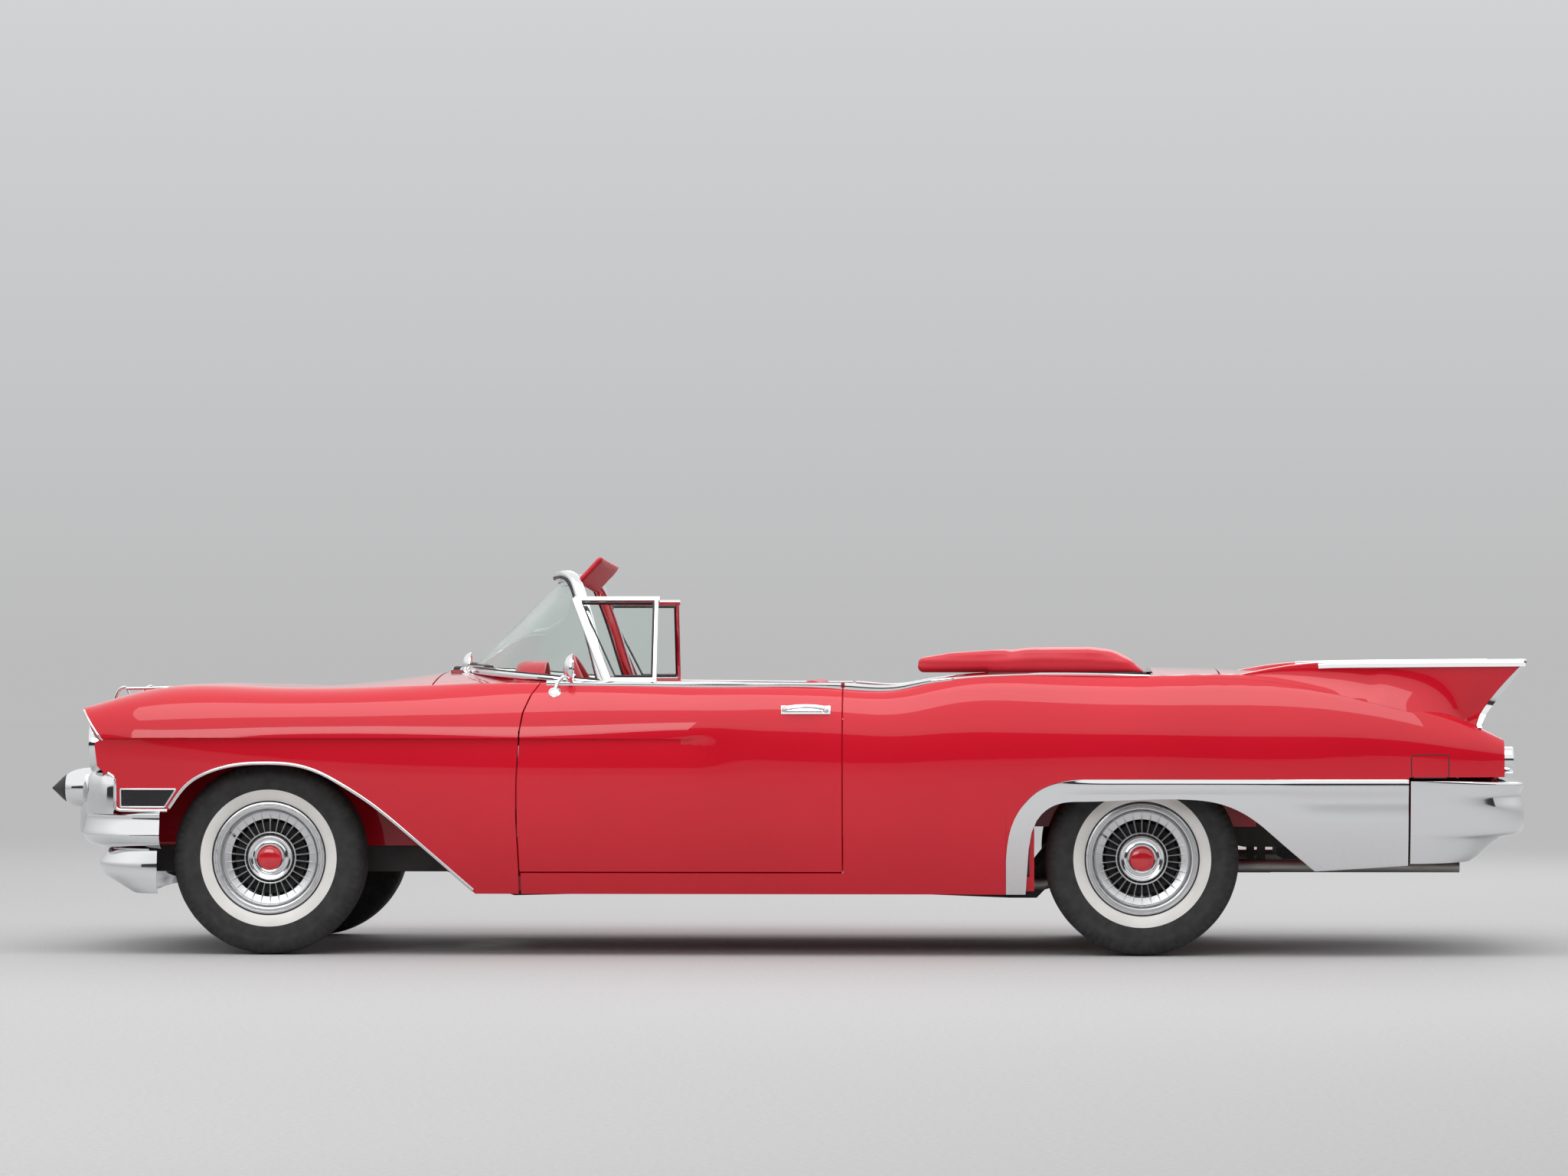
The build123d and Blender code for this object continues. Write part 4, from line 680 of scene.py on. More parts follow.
def hood_ridges(x, y):
    """Two soft ridges that run back from the bright spears and fade out before the cowl."""
    fade = np.clip((-1500 - x) / 700, 0, 1)
    return 7.0 * fade * math.exp(-((abs(y) - 350) / 60) ** 2)


hood = crowned("hood_panel", HOOD_SECTIONS, stations(-2610, -2480, -1936, -1330, step=30), hood_edge,
               across=81, shape=hood_ridges)
lid = crowned("trunk_lid_panel", LID_SECTIONS, stations(1656, 1850, 2350, 2690, step=26), lid_edge, across=49)
deck = crowned("rear_deck_panel", DECK_SECTIONS, stations(1398, 1650, step=28), lambda x: deck_edge(x) + 5.5)
lid_height = crown_height(LID_SECTIONS)
tail_columns = [(y, lid_height(2690, y) - 25) for y in np.linspace(-682, 682, 41)]
tail_panel = new_object("tail_panel", [(x, y, z) for y, top in tail_columns for x, z in (
    (2672, 640), (2691, 640), (2691, top - 3), (2689, top), (2672, top))], grid_faces(41, 5), red_enamel)
print("crowned panels:", hood.name, lid.name, deck.name, tail_panel.name)

# %% [markdown]
# ## Tail fins
# A fin is not a plate stuck on the fender: its outer face leaves the body side tangentially and sweeps up to
# a thin top edge. So each fin column starts on the body section, in that section's own direction, and a
# Bezier curve carries it up. The last columns bend forward to the raked trailing edge.

# %% Fin surface
# x, inner_foot_y, foot share of the upper arc, top_z
FIN_TOPS = ((1500, 800, 0.93, 1016), (1640, 800, 0.92, 1042), (1921, 800, 0.84, 1095), (2150, 798, 0.76, 1108),
            (2500, 796, 0.68, 1112), (2795, 796, 0.62, 1114))
FIN_TOP_Y = 858.0
FIN_TOP_HALF = 13.0
FIN_TAIL = ((2641, 806), (2621, 867), (2645, 912), (2791, 1102), (2791, 1130))
fin_columns = list(zip(*FIN_TOPS))
fin_foot_y, fin_leave, fin_top = (fair_curve(fin_columns[0], values) for values in fin_columns[1:])
fin_tail = outline_x(FIN_TAIL)


def bezier(p0, p1, p2, p3, count):
    """Points of a cubic Bezier curve in the (y, z) plane."""
    t = np.linspace(0, 1, count)[:, None]
    p0, p1, p2, p3 = (np.array(p, float) for p in (p0, p1, p2, p3))
    return (1 - t) ** 3 * p0 + 3 * (1 - t) ** 2 * t * p1 + 3 * (1 - t) * t**2 * p2 + t**3 * p3


def fin_section(x, proud=0.4):
    """The fin at x as (y, z) points, from the body side over the top edge and down to the deck."""
    body = np.array(side_section(min(x, TAIL_X), 0.0))[LOWER_COUNT + 1:CROWN_COUNT]
    leave = float(fin_leave(x)) * (len(body) - 1)
    i = min(int(leave), len(body) - 2)
    start = body[i] + (body[i + 1] - body[i]) * (leave - i)
    along = (body[i + 1] - body[i]) / np.linalg.norm(body[i + 1] - body[i])
    start = start + np.array((along[1], -along[0])) * proud
    top = float(fin_top(x))
    rise = max(top - start[1], 8.0)
    outer_top = np.array((FIN_TOP_Y + FIN_TOP_HALF, top - 6))
    reach = 0.45 * np.linalg.norm(outer_top - start)
    outer = bezier(start, start + along * reach, outer_top - np.array((0.12, 1.0)) * rise * 0.45, outer_top, 22)
    cap = [(FIN_TOP_Y + FIN_TOP_HALF * c, top - 6 + 6 * s) for c, s in ((0.8, 0.75), (0.3, 1), (-0.3, 1), (-0.8, 0.75))]
    inner_top = (FIN_TOP_Y - FIN_TOP_HALF, top - 6)
    foot_y = float(fin_foot_y(x))
    foot = (foot_y, min(start[1], top - 20) - 10)
    inner = bezier(inner_top, (inner_top[0] - 4, top - 0.5 * rise), (foot_y + 6, foot[1] + 0.35 * rise), foot, 16)
    return list(map(tuple, outer)) + cap + list(map(tuple, inner))


def fin_panel(name, xs, fade):
    """The fin as a grid whose last columns bend to the trailing edge, closed there by a thin web."""
    vertices = []
    rows = None
    for x in xs:
        section = fin_section(x)
        rows = len(section)
        for y, z in section:
            share = np.clip(1 - (xs[-1] - x) / fade, 0, 1)
            moved = x + (fin_tail(z) - xs[-1]) * share
            vertices.append((moved, y, z))
    faces = grid_faces(len(xs), rows)
    last = (len(xs) - 1) * rows
    for j in range(rows // 2 - 1):
        faces.append((last + j, last + rows - 1 - j, last + rows - 2 - j, last + j + 1))
    obj = tidy(new_object(name, vertices, faces, red_enamel, 40), weld=False)
    shade(obj, 40)
    return obj


fin = fin_panel("fin_right", stations(1560, 1921, 2350, 2790, step=26), fade=430)
print("fin faces:", len(fin.data.polygons))

# %% [markdown]
# ## Left and right
# The car's sides mirror each other, so each right-hand piece is copied with its y negated. Then each piece
# is told which body carries it and which model part it stands for.

# %% Mirror, ride and replace
def pair(obj, body, nodes=(), left_body=None):
    """Mirror a right-hand piece; both ride on their bodies and replace the right and left nodes."""
    left_name = obj.name.replace("right", "left") if "right" in obj.name else obj.name + "_left"
    twin = mirror_copy(obj, left_name)
    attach(obj, body)
    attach(twin, left_body or body)
    if nodes:
        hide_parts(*nodes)
        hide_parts(*[node.replace("_right", "_left") for node in nodes])
    return twin


def single(obj, body, nodes=()):
    """A piece that rides on one body and may replace nodes."""
    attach(obj, body)
    if nodes:
        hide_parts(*nodes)
    return obj


pair(front_fender, "body", ("front_fender_right",))
pair(rear_quarter, "body", ("rear_quarter_right",))
pair(rocker, "body", ())
pair(fin, "body", ())
pair(door, "door_right", ("door_right",), left_body="door_left")
single(hood, "hood", ("hood",))
single(lid, "trunk_lid", ("trunk_lid",))
single(deck, "body", ("rear_deck",))
single(tail_panel, "body", ())

# %% [markdown]
# ## Tyres
# A wide whitewall tyre is a lathe form: one profile turned about the axle. Its shoulder carries short
# radial cuts all the way round and its tread has ribs with zigzag grooves between them. Both come from the
# same turned grid, by lowering or shifting its points as the angle steps on.

# %% Lathe work about a wheel's axle
FRONT_AXLE_X = -1936.0
REAR_AXLE_X = 1353.0
WHEEL_Y = 774.5
HUB_Z = 365.0


def lathe(name, profile, steps, materials, smooth_deg=35.0, shape=None):
    """Turn (y, radius, material index) points about the axle; y runs outwards from the tyre's middle."""
    vertices, faces, indexes = [], [], []
    rows = len(profile)
    for i in range(steps):
        angle = 2 * math.pi * i / steps
        for j, (y, radius, _) in enumerate(profile):
            if shape:
                y, radius = shape(i, j, y, radius)
            vertices.append((radius * math.cos(angle), WHEEL_Y + y, radius * math.sin(angle)))
    for i in range(steps):
        for j in range(rows - 1):
            a, b = i * rows + j, (i + 1) % steps * rows + j
            faces.append((a, a + 1, b + 1, b))
            indexes.append(profile[j][2])
    obj = new_object(name, vertices, faces, materials[0], smooth_deg)
    for material in materials[1:]:
        obj.data.materials.append(material)
    obj.data.polygons.foreach_set("material_index", indexes)
    tidy(obj)
    shade(obj, smooth_deg)
    return obj


# %% The tyre's profile and its cuts
SHOULDER_CUTS = 168
# y, radius, material (0 black, 1 white)
TYRE_SIDE = ((81, 200, 0), (82, 213, 0), (88, 216, 1), (96, 226, 1), (101, 240, 1), (103.2, 252, 1), (103.6, 258, 0),
             (102.8, 259, 0), (103.4, 262, 0), (104, 280, 0), (104, 296, 0), (103.4, 300, 0), (104, 303, 0),
             (103, 318, 0), (101.2, 324, 0), (100.6, 326, 0), (98, 336, 0), (93.5, 345, 0), (88, 352, 0),
             (81, 357.2, 0))
TREAD_RIBS = ((74, 360.4), (58, 362.6), (54, 355), (50, 355), (46, 363.4), (26, 364.4), (22, 356), (18, 356),
              (14, 364.8), (0, 365))
tyre_profile = list(TYRE_SIDE) + [(y, r, 0) for y, r in TREAD_RIBS]
tyre_profile += [(-y, r, 0) for y, r, _ in reversed(tyre_profile[:-1])]
SHOULDER_ROWS = [j for j, (y, r, _) in enumerate(tyre_profile) if 326 < r < 360.5 and abs(y) > 74]
GROOVE_ROWS = [j for j, (y, r, _) in enumerate(tyre_profile) if 12 < abs(y) < 60]


def cut_tread(i, j, y, radius):
    """Lower every other pair of columns on the shoulder, and let the tread grooves zigzag."""
    if j in SHOULDER_ROWS and i % 4 in (0, 1):
        radius -= 2.6
        y -= math.copysign(1.8, y)
    if j in GROOVE_ROWS:
        y += 4.0 * (abs(i % 12 - 6) / 3 - 1)
    return y, radius


tyre = lathe("tyre_front_right_rubber", tyre_profile, 4 * SHOULDER_CUTS // 2, [tyre_black, whitewall], 30, cut_tread)
print("tyre faces:", len(tyre.data.polygons))

# %% [markdown]
# ## Finned wheels
# Each wheel is a brushed aluminium casting: a stepped rim, a shallow dish, and thirty tapered fins with open
# slots between them, round a bright centre with a plain red enamel disc. The slots are real openings, so the
# black drum shows through, and each fin is a small ridge that catches the light on one side.

# %% Rim, dish and centre
enamel_cap, tree, shader = finish("enamel_cap", (0.62, 0.01, 0.02), 0.15, coat=1.0)
vary(tree, shader, "Base Color", 40, (0.56, 0.008, 0.018), (0.68, 0.014, 0.026))
drum_black, tree, shader = finish("drum_black", (0.008, 0.008, 0.009), 0.6)
vary(tree, shader, "Roughness", 20, 0.5, 0.7)
RIM_PROFILE = ((-80, 186), (-87, 190), (-87, 212), (-80, 212), (-79, 194), (-30, 170), (30, 170), (78, 194),
               (79, 211), (84, 213), (88, 210), (89, 205), (86, 202), (88, 199), (88, 196), (84, 194), (86, 191),
               (85, 187), (79, 184), (74, 180), (66, 178), (52, 176.5), (47, 174), (44, 166), (42, 158), (40, 148),
               (34, 147), (28, 148), (28, 168), (10, 164), (-30, 160), (-80, 184), (-80, 186))
rim = lathe("wheel_front_right_rim", [(y, r, 0) for y, r in RIM_PROFILE], 120, [brushed_aluminium], 32)
# y, radius, material (0 chrome, 1 black, 2 brushed, 3 enamel)
HUB_PROFILE = ((28, 90, 2), (40, 99, 2), (47, 98, 2), (49, 95, 2), (48, 93.5, 1), (43, 92, 1), (43, 87, 0),
               (50, 85.5, 0), (54, 83, 0), (56, 79, 0), (55, 75, 0), (49, 71, 0), (47, 66, 0), (49, 60, 0),
               (57, 56, 0), (63, 54, 0), (66, 51, 0), (65.5, 48, 0), (62, 46.5, 3), (66, 44, 3), (69.5, 38, 3),
               (72.5, 26, 3), (74, 13, 3), (74.4, 0, 3))
hub = lathe("wheel_front_right_centre", HUB_PROFILE, 96, [chrome_plate, drum_black, brushed_aluminium, enamel_cap], 34)
DRUM_PROFILE = ((-40, 22), (-40, 140), (2, 142), (9, 136), (10, 92), (24, 88), (28, 84), (28, 0))
drum = lathe("wheel_front_right_drum", [(y, r, 0) for y, r in DRUM_PROFILE], 64, [drum_black])


def wheel_fins(name, count=30):
    """Tapered fins from the centre to the dish; each is a ridge with sloping flanks."""
    # radius, base half-width, base y, ridge y
    stations_out = ((92, 3.2, 38, 50), (104, 3.6, 37, 50), (120, 4.0, 36, 49.5), (136, 4.3, 36.5, 49),
                    (148, 4.4, 38, 49), (160, 3.0, 40, 48.5), (170, 2.0, 43, 49), (176, 1.4, 45, 51))
    vertices, faces = [], []
    for k in range(count):
        angle = 2 * math.pi * (k + 0.5) / count
        out = Vector((math.cos(angle), 0, math.sin(angle)))
        along = Vector((-math.sin(angle), 0, math.cos(angle)))
        first = len(vertices)
        for radius, half, base, ridge in stations_out:
            for side, y in ((-1, base - 12), (-1, base), (-0.18, ridge), (0.18, ridge), (1, base), (1, base - 12)):
                p = out * radius + along * half * side
                vertices.append((p.x, WHEEL_Y + y, p.z))
        rows = 6
        for i in range(len(stations_out) - 1):
            for j in range(rows - 1):
                a, b = first + i * rows + j, first + (i + 1) * rows + j
                faces.append((a, a + 1, b + 1, b))
        for i in (0, len(stations_out) - 1):
            faces.append(tuple(first + i * rows + j for j in range(rows)))
    obj = new_object(name, vertices, faces, brushed_aluminium, 25)
    return tidy(obj)


fins = wheel_fins("wheel_front_right_fins")
valve = lathe("wheel_front_right_valve", [(30, 0, 0), (30, 4.5, 0), (60, 4, 0), (62, 0, 0)], 12, [black_rubber])
valve.data.transform(Matrix.Translation((0.158 * math.cos(2.6), 0, 0.158 * math.sin(2.6))))


# %% One wheel becomes four
def place_wheel(piece, corner, x, side):
    """A copy of a wheel piece at an axle end, turned to the outside of the car."""
    mesh = piece.data.copy()
    mesh.transform(Matrix.Translation((x * MM, 0, HUB_Z * MM)))
    if side < 0:
        mesh.transform(Matrix.Diagonal((1, -1, 1, 1)))
        mesh.flip_normals()
    copy = bpy.data.objects.new(piece.name.replace("front_right", corner), mesh)
    bpy.context.scene.collection.objects.link(copy)
    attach(copy, "wheel_" + corner)
    kind = piece.name.split("_")[0]
    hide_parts(f"{kind}_{corner}")


for piece in (tyre, rim, hub, drum, fins, valve):
    for corner, x, side in (("front_left", FRONT_AXLE_X, -1), ("rear_right", REAR_AXLE_X, 1),
                            ("rear_left", REAR_AXLE_X, -1)):
        place_wheel(piece, corner, x, side)
    piece.data.transform(Matrix.Translation((FRONT_AXLE_X * MM, 0, HUB_Z * MM)))
    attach(piece, "wheel_front_right")
    kind = piece.name.split("_")[0]
    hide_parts(f"{kind}_front_right")
print("wheels placed at four corners")

# %% [markdown]
# ## Bright trim on the body side
# The lower quarter wears a broad bright panel that wraps over the wheel opening, and thin bright mouldings
# follow the front arch, the belt, the fin's top and its trailing edge. The broad panel is a grid on the body
# section, standing a few millimetres proud. The mouldings are swept: a small profile carried along a path.

# %% Quarter panel in chrome
TRIM_FOOT = ((1995, 322), (2022, 323), (2343, 343))
TRIM_PROUD = 4.0


def trim_low(x):
    """Lower edge of the bright quarter: down the front leg, over the wheel, then along the tail."""
    if x < 916:
        return SILL_Z
    if x <= 1995:
        return float(np.interp(x, *ARCH_LINE))
    return float(np.interp(x, *zip(*TRIM_FOOT)))


def trim_high(x):
    """Upper edge of the bright quarter, just under the red."""
    return min(float(np.interp(x, *TRIM_LINE)), TRIM_TOP_Z) - 0.5


trim_xs = [842.5, 845, 847, 853, 861, 874, 887, 899] + stations(
    915.5, 927, 938, 976, 1037, 1129, 1513, 1627, 1743, 1858, 1995, 2343, step=16)
trim_xs = [x for i, x in enumerate(trim_xs) if i == 0 or x - trim_xs[i - 1] > 0.4]
quarter_chrome = side_panel("quarter_bright_right", trim_xs, low=trim_low, high=trim_high, proud=TRIM_PROUD,
                            rows=34, material=chrome_plate)
# a bead along the top, a valley under it and a soft bulge: height, and how far each stands in or out
RELIEF = ((340, 0.0), (470, 2.0), (504, 2.5), (540, 0.5), (570, -2.5), (585, -3.4), (598, -2.4), (612, 1.0), (626, 4.6),
          (640, 5.6), (654, 4.4), (661, 1.5), (666, 0.0))
relief = fair_curve([r[0] for r in RELIEF], [r[1] for r in RELIEF])
for vertex in quarter_chrome.data.vertices:
    x, z = vertex.co.x / MM, vertex.co.z / MM
    depth = float(relief(min(max(z, RELIEF[0][0]), RELIEF[-1][0])))
    reach = min(max((x - (990 if z > 612 else 1800)) / 230, 0.0), 1.0)
    vertex.co.y += depth * reach * reach * (3 - 2 * reach) * MM
thicken(quarter_chrome, 24, 30, bevel_mm=1.5)


# %% Swept mouldings
def sweep(name, path, profile, material, ups=None, smooth_deg=40.0, scale=None):
    """Carry a profile of (across, up) points along a path in millimetres; ups gives each point's up vector."""
    count = len(path)
    points = [Vector(p) for p in path]
    vertices = []
    for i, point in enumerate(points):
        along = (points[min(i + 1, count - 1)] - points[max(i - 1, 0)]).normalized()
        up = Vector(ups[i] if ups else (0, 0, 1))
        across = along.cross(up).normalized()
        up = across.cross(along).normalized()
        size = scale(i / (count - 1)) if scale else 1.0
        for u, v in profile:
            vertices.append(tuple(point + across * u * size + up * v * size))
    rows = len(profile)
    faces = ring_faces(count, rows)
    faces += [tuple(range(rows)), tuple(reversed(range((count - 1) * rows, count * rows)))]
    obj = new_object(name, vertices, faces, material, smooth_deg)
    return tidy(obj)


def side_normal(x, z, proud=0.0):
    """Outward direction of the body side at x and z."""
    y0, z0 = side_point(x, z - 4, proud)
    y1, z1 = side_point(x, z + 4, proud)
    y2, _ = side_point(x + 10, z, proud)
    y3, _ = side_point(x - 10, z, proud)
    up = Vector((0, y1 - y0, z1 - z0))
    along = Vector((20, y2 - y3, 0))
    normal = along.cross(up).normalized()
    return normal if normal.y > 0 else -normal


def on_side(xz, proud=0.0):
    """3-D points and outward directions for a list of (x, z) on the right body side."""
    path, ups = [], []
    for x, z in xz:
        y, _ = side_point(x, z, proud)
        path.append((x, y, z))
        ups.append(side_normal(x, z))
    return path, ups


def half_round(width, height, steps=7):
    """A domed moulding profile standing on its base, as (across, up) points."""
    return [(-width / 2 * math.cos(math.pi * t / (steps - 1)), height * math.sin(math.pi * t / (steps - 1)) ** 0.8)
            for t in range(steps)]


# the front arch lip
arch_xz = [(x, float(arch(x)) + 7) for x in np.linspace(-2290, -1160, 90)]
arch_xz = [(x, z) for x, z in arch_xz if z > 240]
path, ups = on_side([(-2302, 556)] + arch_xz)
arch_lip = sweep("front_arch_lip_right", path, half_round(13, 6), chrome_plate, ups)
print("arch lip points:", len(path))


# %% Belt, fin and deck mouldings
# the belt moulding on the fender's tail, door and quarter: x, top z, bottom z
BELT_LINE = ((-886, 1035, 1018), (-600, 1032, 1016), (-200, 1029, 1011), (224, 1026, 1005), (234, 1026, 1004),
             (320, 1020, 998), (445, 1021, 1002), (532, 1037, 1022), (620, 1048, 1035), (700, 1055, 1044),
             (773, 1059, 1049), (900, 1063, 1054), (1155, 1063, 1055), (1385, 1057, 1050))


def belt_piece(name, first, last, count, inner_y_shift=30):
    """A domed band along the belt between two places; it covers the section's crown."""
    xs = np.linspace(first, last, count)
    top = fair_curve([b[0] for b in BELT_LINE], [b[1] for b in BELT_LINE])
    low = fair_curve([b[0] for b in BELT_LINE], [b[2] for b in BELT_LINE])
    vertices = []
    rows = 0
    for x in xs:
        y_out, _ = side_point(x, min(float(low(x)), float(section_at[7](x)) - 2))
        crown_y = float(section_at[6](x))
        z1, z0 = float(top(x)), float(low(x))
        section = [(y_out + 1, z0 - 4), (y_out + 4, z0 + 2), (y_out + 3, z0 + 0.55 * (z1 - z0)),
                   (y_out - 8, z1 - 2), (crown_y - 8, z1), (crown_y - inner_y_shift, z1 - 1),
                   (crown_y - inner_y_shift - 5, z1 - 5), (crown_y - inner_y_shift - 5, z0 - 6)]
        rows = len(section)
        vertices += [(x, y, z) for y, z in section]
    faces = grid_faces(len(xs), rows)
    faces += [tuple(range(rows)), tuple(reversed(range((count - 1) * rows, count * rows)))]
    faces += seam_faces(count, rows)
    return tidy(new_object(name, vertices, faces, chrome_plate, 38))


door_belt = belt_piece("door_belt_right", -884, 224, 50)
quarter_belt = belt_piece("quarter_belt_right", 238, 1380, 70)
fin_top_path = [(x, FIN_TOP_Y, float(fin_top(x)) - 1) for x in np.linspace(2012, 2786, 60)]
fin_top_strip = sweep("fin_top_strip_right", fin_top_path,
                      [(-20, -25), (-17, -12), (-12, -1), (-6, 2), (0, 3), (6, 2), (12, -1), (17, -12), (20, -25)],
                      chrome_plate, scale=lambda t: 0.9 + 0.1 * min(1, t * 3))


FIN_EDGE_TOP_Z = 1112
FIN_EDGE_FOOT_Z = 858


def fin_tail_strip(name):
    """The bright edge down the fin's trailing edge: a wedge that widens towards its foot."""
    zs = np.linspace(FIN_EDGE_TOP_Z, FIN_EDGE_FOOT_Z, 26)
    vertices = []
    rows = 8
    for z in zs:
        x = fin_tail(z)
        section = fin_section(min(x - 6, 2795), 0.4)
        outer, inner = section[:23], section[26:]
        y_out = np.interp(z, [p[1] for p in outer], [p[0] for p in outer])
        y_in = np.interp(z, [p[1] for p in reversed(inner)], [p[0] for p in reversed(inner)])
        width = 12 + 18 * math.sin(math.pi * (FIN_EDGE_TOP_Z - z) / 290)
        vertices += [(x - width, y_out - 2, z), (x - width + 2, y_out + 4, z), (x - 2, y_out + 5, z),
                     (x + 1.5, y_out - 3, z), (x + 1.5, y_in + 3, z), (x - 2, y_in - 1.6, z),
                     (x - width + 1, y_in - 1.6, z), (x - width, y_in + 2, z)]
    faces = grid_faces(len(zs), rows) + seam_faces(len(zs), rows)
    faces += [tuple(range(rows)), tuple(range((len(zs) - 1) * rows, len(zs) * rows))]
    return tidy(new_object(name, vertices, faces, chrome_plate, 40))


fin_tail_edge = fin_tail_strip("fin_tail_edge_right")

# %% Carry the trim
pair(quarter_chrome, "body", ())
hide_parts("quarter_trim")
pair(arch_lip, "body", ())
pair(door_belt, "door_right", (), left_body="door_left")
pair(quarter_belt, "body", ())
pair(fin_top_strip, "body", ())
pair(fin_tail_edge, "body", ())

# %% [markdown]
# ## Windshield frame, vent windows, handles and mirrors
# One bright tube runs up the left pillar, across the top and down the right pillar. It is swept along a
# smooth path, with its rounded profile turning from the pillar's outward direction to the header's upward
# one. The vent frames are four short bars each, and the mirrors and handles are small turned and swept forms.


# %% Smooth paths in space
def smooth_path(points, count):
    """A smooth curve through points in space, evenly sampled by chord length."""
    points = np.array(points, float)
    along = chord_lengths(points)
    curves = [fair_curve(along, points[:, k]) for k in range(3)]
    return [tuple(float(curve(s)) for curve in curves) for s in np.linspace(0, along[-1], count)]


def rounded_bar(width, height, corner, steps=4):
    """A rectangle profile with rounded corners, as (across, up) points centred on the path."""
    points = []
    for cx, cy, start in ((1, 1, 0), (-1, 1, 90), (-1, -1, 180), (1, -1, 270)):
        for k in range(steps + 1):
            a = math.radians(start + 90 * k / steps)
            points.append((cx * (width / 2 - corner) + corner * math.cos(a),
                           cy * (height / 2 - corner) + corner * math.sin(a)))
    return points


def corner_arcs(centres, radius, steps):
    """A closed outline of quarter circles round four centres, from the first one's right side upwards."""
    points = []
    for (u, v), start in zip(centres, (0, 90, 180, 270)):
        for k in range(steps + 1):
            a = math.radians(start + 90 * k / steps)
            points.append((u + radius * math.cos(a), v + radius * math.sin(a)))
    return points + points[:1]


def shifted(profile, across, up):
    """The profile moved off its path."""
    return [(u + across, v + up) for u, v in profile]


# %% Windshield surround
HALF_SURROUND = ((-672, 818, 1020), (-706, 767, 1141), (-740, 716, 1260), (-770, 671, 1350), (-788, 645, 1396),
                 (-806, 617, 1423), (-828, 575, 1435), (-848, 500, 1436), (-868, 380, 1436), (-884, 200, 1436))
surround_points = list(HALF_SURROUND) + [(-890, 0, 1436)] + [(x, -y, z) for x, y, z in reversed(HALF_SURROUND)]
surround_path = smooth_path(surround_points, 121)


def surround_ups(path):
    """Outward on the pillars, upward on the header."""
    ups = []
    for x, y, z in path:
        t = np.clip((z - 1330) / 100, 0, 1)
        t = ease(t)
        ups.append((0, math.copysign(1 - t, y), 0.35 + 0.65 * t))
    return ups


surround = sweep("windshield_surround", surround_path, rounded_bar(44, 36, 13), chrome_plate,
                 surround_ups(surround_path))
# `along x up` points to the front on this path, so a negative shift lies on the cabin side
gasket = sweep("windshield_gasket", surround_path, shifted(rounded_bar(7, 12, 3, 2), 24, -8), black_rubber,
               surround_ups(surround_path))
GLASS_FOOT = ((-1231, 0), (-1205, 300), (-1120, 560), (-1010, 726), (-880, 800), (-700, 822))
foot_points = [(x, y, 1085 - math.tan(math.radians(5.15)) * (x + 1231) - 14) for x, y in GLASS_FOOT]
foot_points = foot_points + [(-655, 826, 1020)]
foot_points = [(x, -y, z) for x, y, z in reversed(foot_points[1:])] + foot_points
foot_path = smooth_path(foot_points, 121)
foot_moulding = sweep("windshield_foot_moulding", foot_path, rounded_bar(24, 27, 9), chrome_plate)
foot_gasket = sweep("windshield_foot_gasket", foot_path, shifted(rounded_bar(12, 5, 2, 2), 0, 15), black_rubber)

# %% Vent window bars, with the plane of the glass leaning in
VENT_LEAN = math.radians(25)


def vent_point(x, z, out=0.0):
    """A point on the vent window's leaning plane."""
    return (x, 872 - (z - 1026) * math.tan(VENT_LEAN) + out * math.cos(VENT_LEAN), z + out * math.sin(VENT_LEAN))


def join(name, pieces):
    """Merge pieces into the first one's object, keeping their materials."""
    target = pieces[0]
    bm = bmesh.new()
    for piece in pieces:
        indexes = []
        for material in piece.data.materials:
            if material.name not in [m.name for m in target.data.materials]:
                target.data.materials.append(material)
            indexes.append([m.name for m in target.data.materials].index(material.name))
        first = len(bm.faces)
        bm.from_mesh(piece.data)
        bm.faces.ensure_lookup_table()
        for face in bm.faces[first:]:
            face.material_index = indexes[min(face.material_index, len(indexes) - 1)]
    bm.to_mesh(target.data)
    bm.free()
    target.name = name
    for piece in pieces[1:]:
        bpy.data.objects.remove(piece)
    shade(target, 38)
    return target


lean_up = (0, math.cos(VENT_LEAN), math.sin(VENT_LEAN))
bars = []
for label, a, b, width in (("front", (-652, 1018), (-786, 1345), 34), ("top", (-792, 1342), (-468, 1342), 20),
                           ("rear", (-480, 1018), (-480, 1348), 17), ("foot", (-650, 1036), (-474, 1036), 20)):
    path = [vent_point(*a), vent_point((a[0] + b[0]) / 2, (a[1] + b[1]) / 2), vent_point(*b)]
    bars.append(sweep("vent_" + label, path, rounded_bar(width, 17, 5), chrome_plate, [lean_up] * 3))
inner = ((-628, 1050), (-762, 1326), (-491, 1326), (-491, 1050))
for a, b in zip(inner, inner[1:] + inner[:1]):
    path = [vent_point(*a), vent_point((a[0] + b[0]) / 2, (a[1] + b[1]) / 2), vent_point(*b)]
    bars.append(sweep("vent_seal", path, rounded_bar(5, 19, 2, 2), black_rubber, [lean_up] * 3))
vent_frame = join("vent_frame_right", bars)


# %% Door handle and lock button
def turned(name, centre, direction, profile, material, steps=32, smooth_deg=35):
    """A small lathe form: (along, radius) points turned about a direction from a centre, in millimetres."""
    axis = Vector(direction).normalized()
    side = axis.orthogonal().normalized()
    other = axis.cross(side)
    vertices = []
    for i in range(steps):
        a = 2 * math.pi * i / steps
        out = side * math.cos(a) + other * math.sin(a)
        vertices += [tuple(Vector(centre) + axis * h + out * r) for h, r in profile]
    obj = new_object(name, vertices, grid_faces(steps, len(profile), closed=True), material, smooth_deg)
    tidy(obj)
    shade(obj, smooth_deg)
    return obj


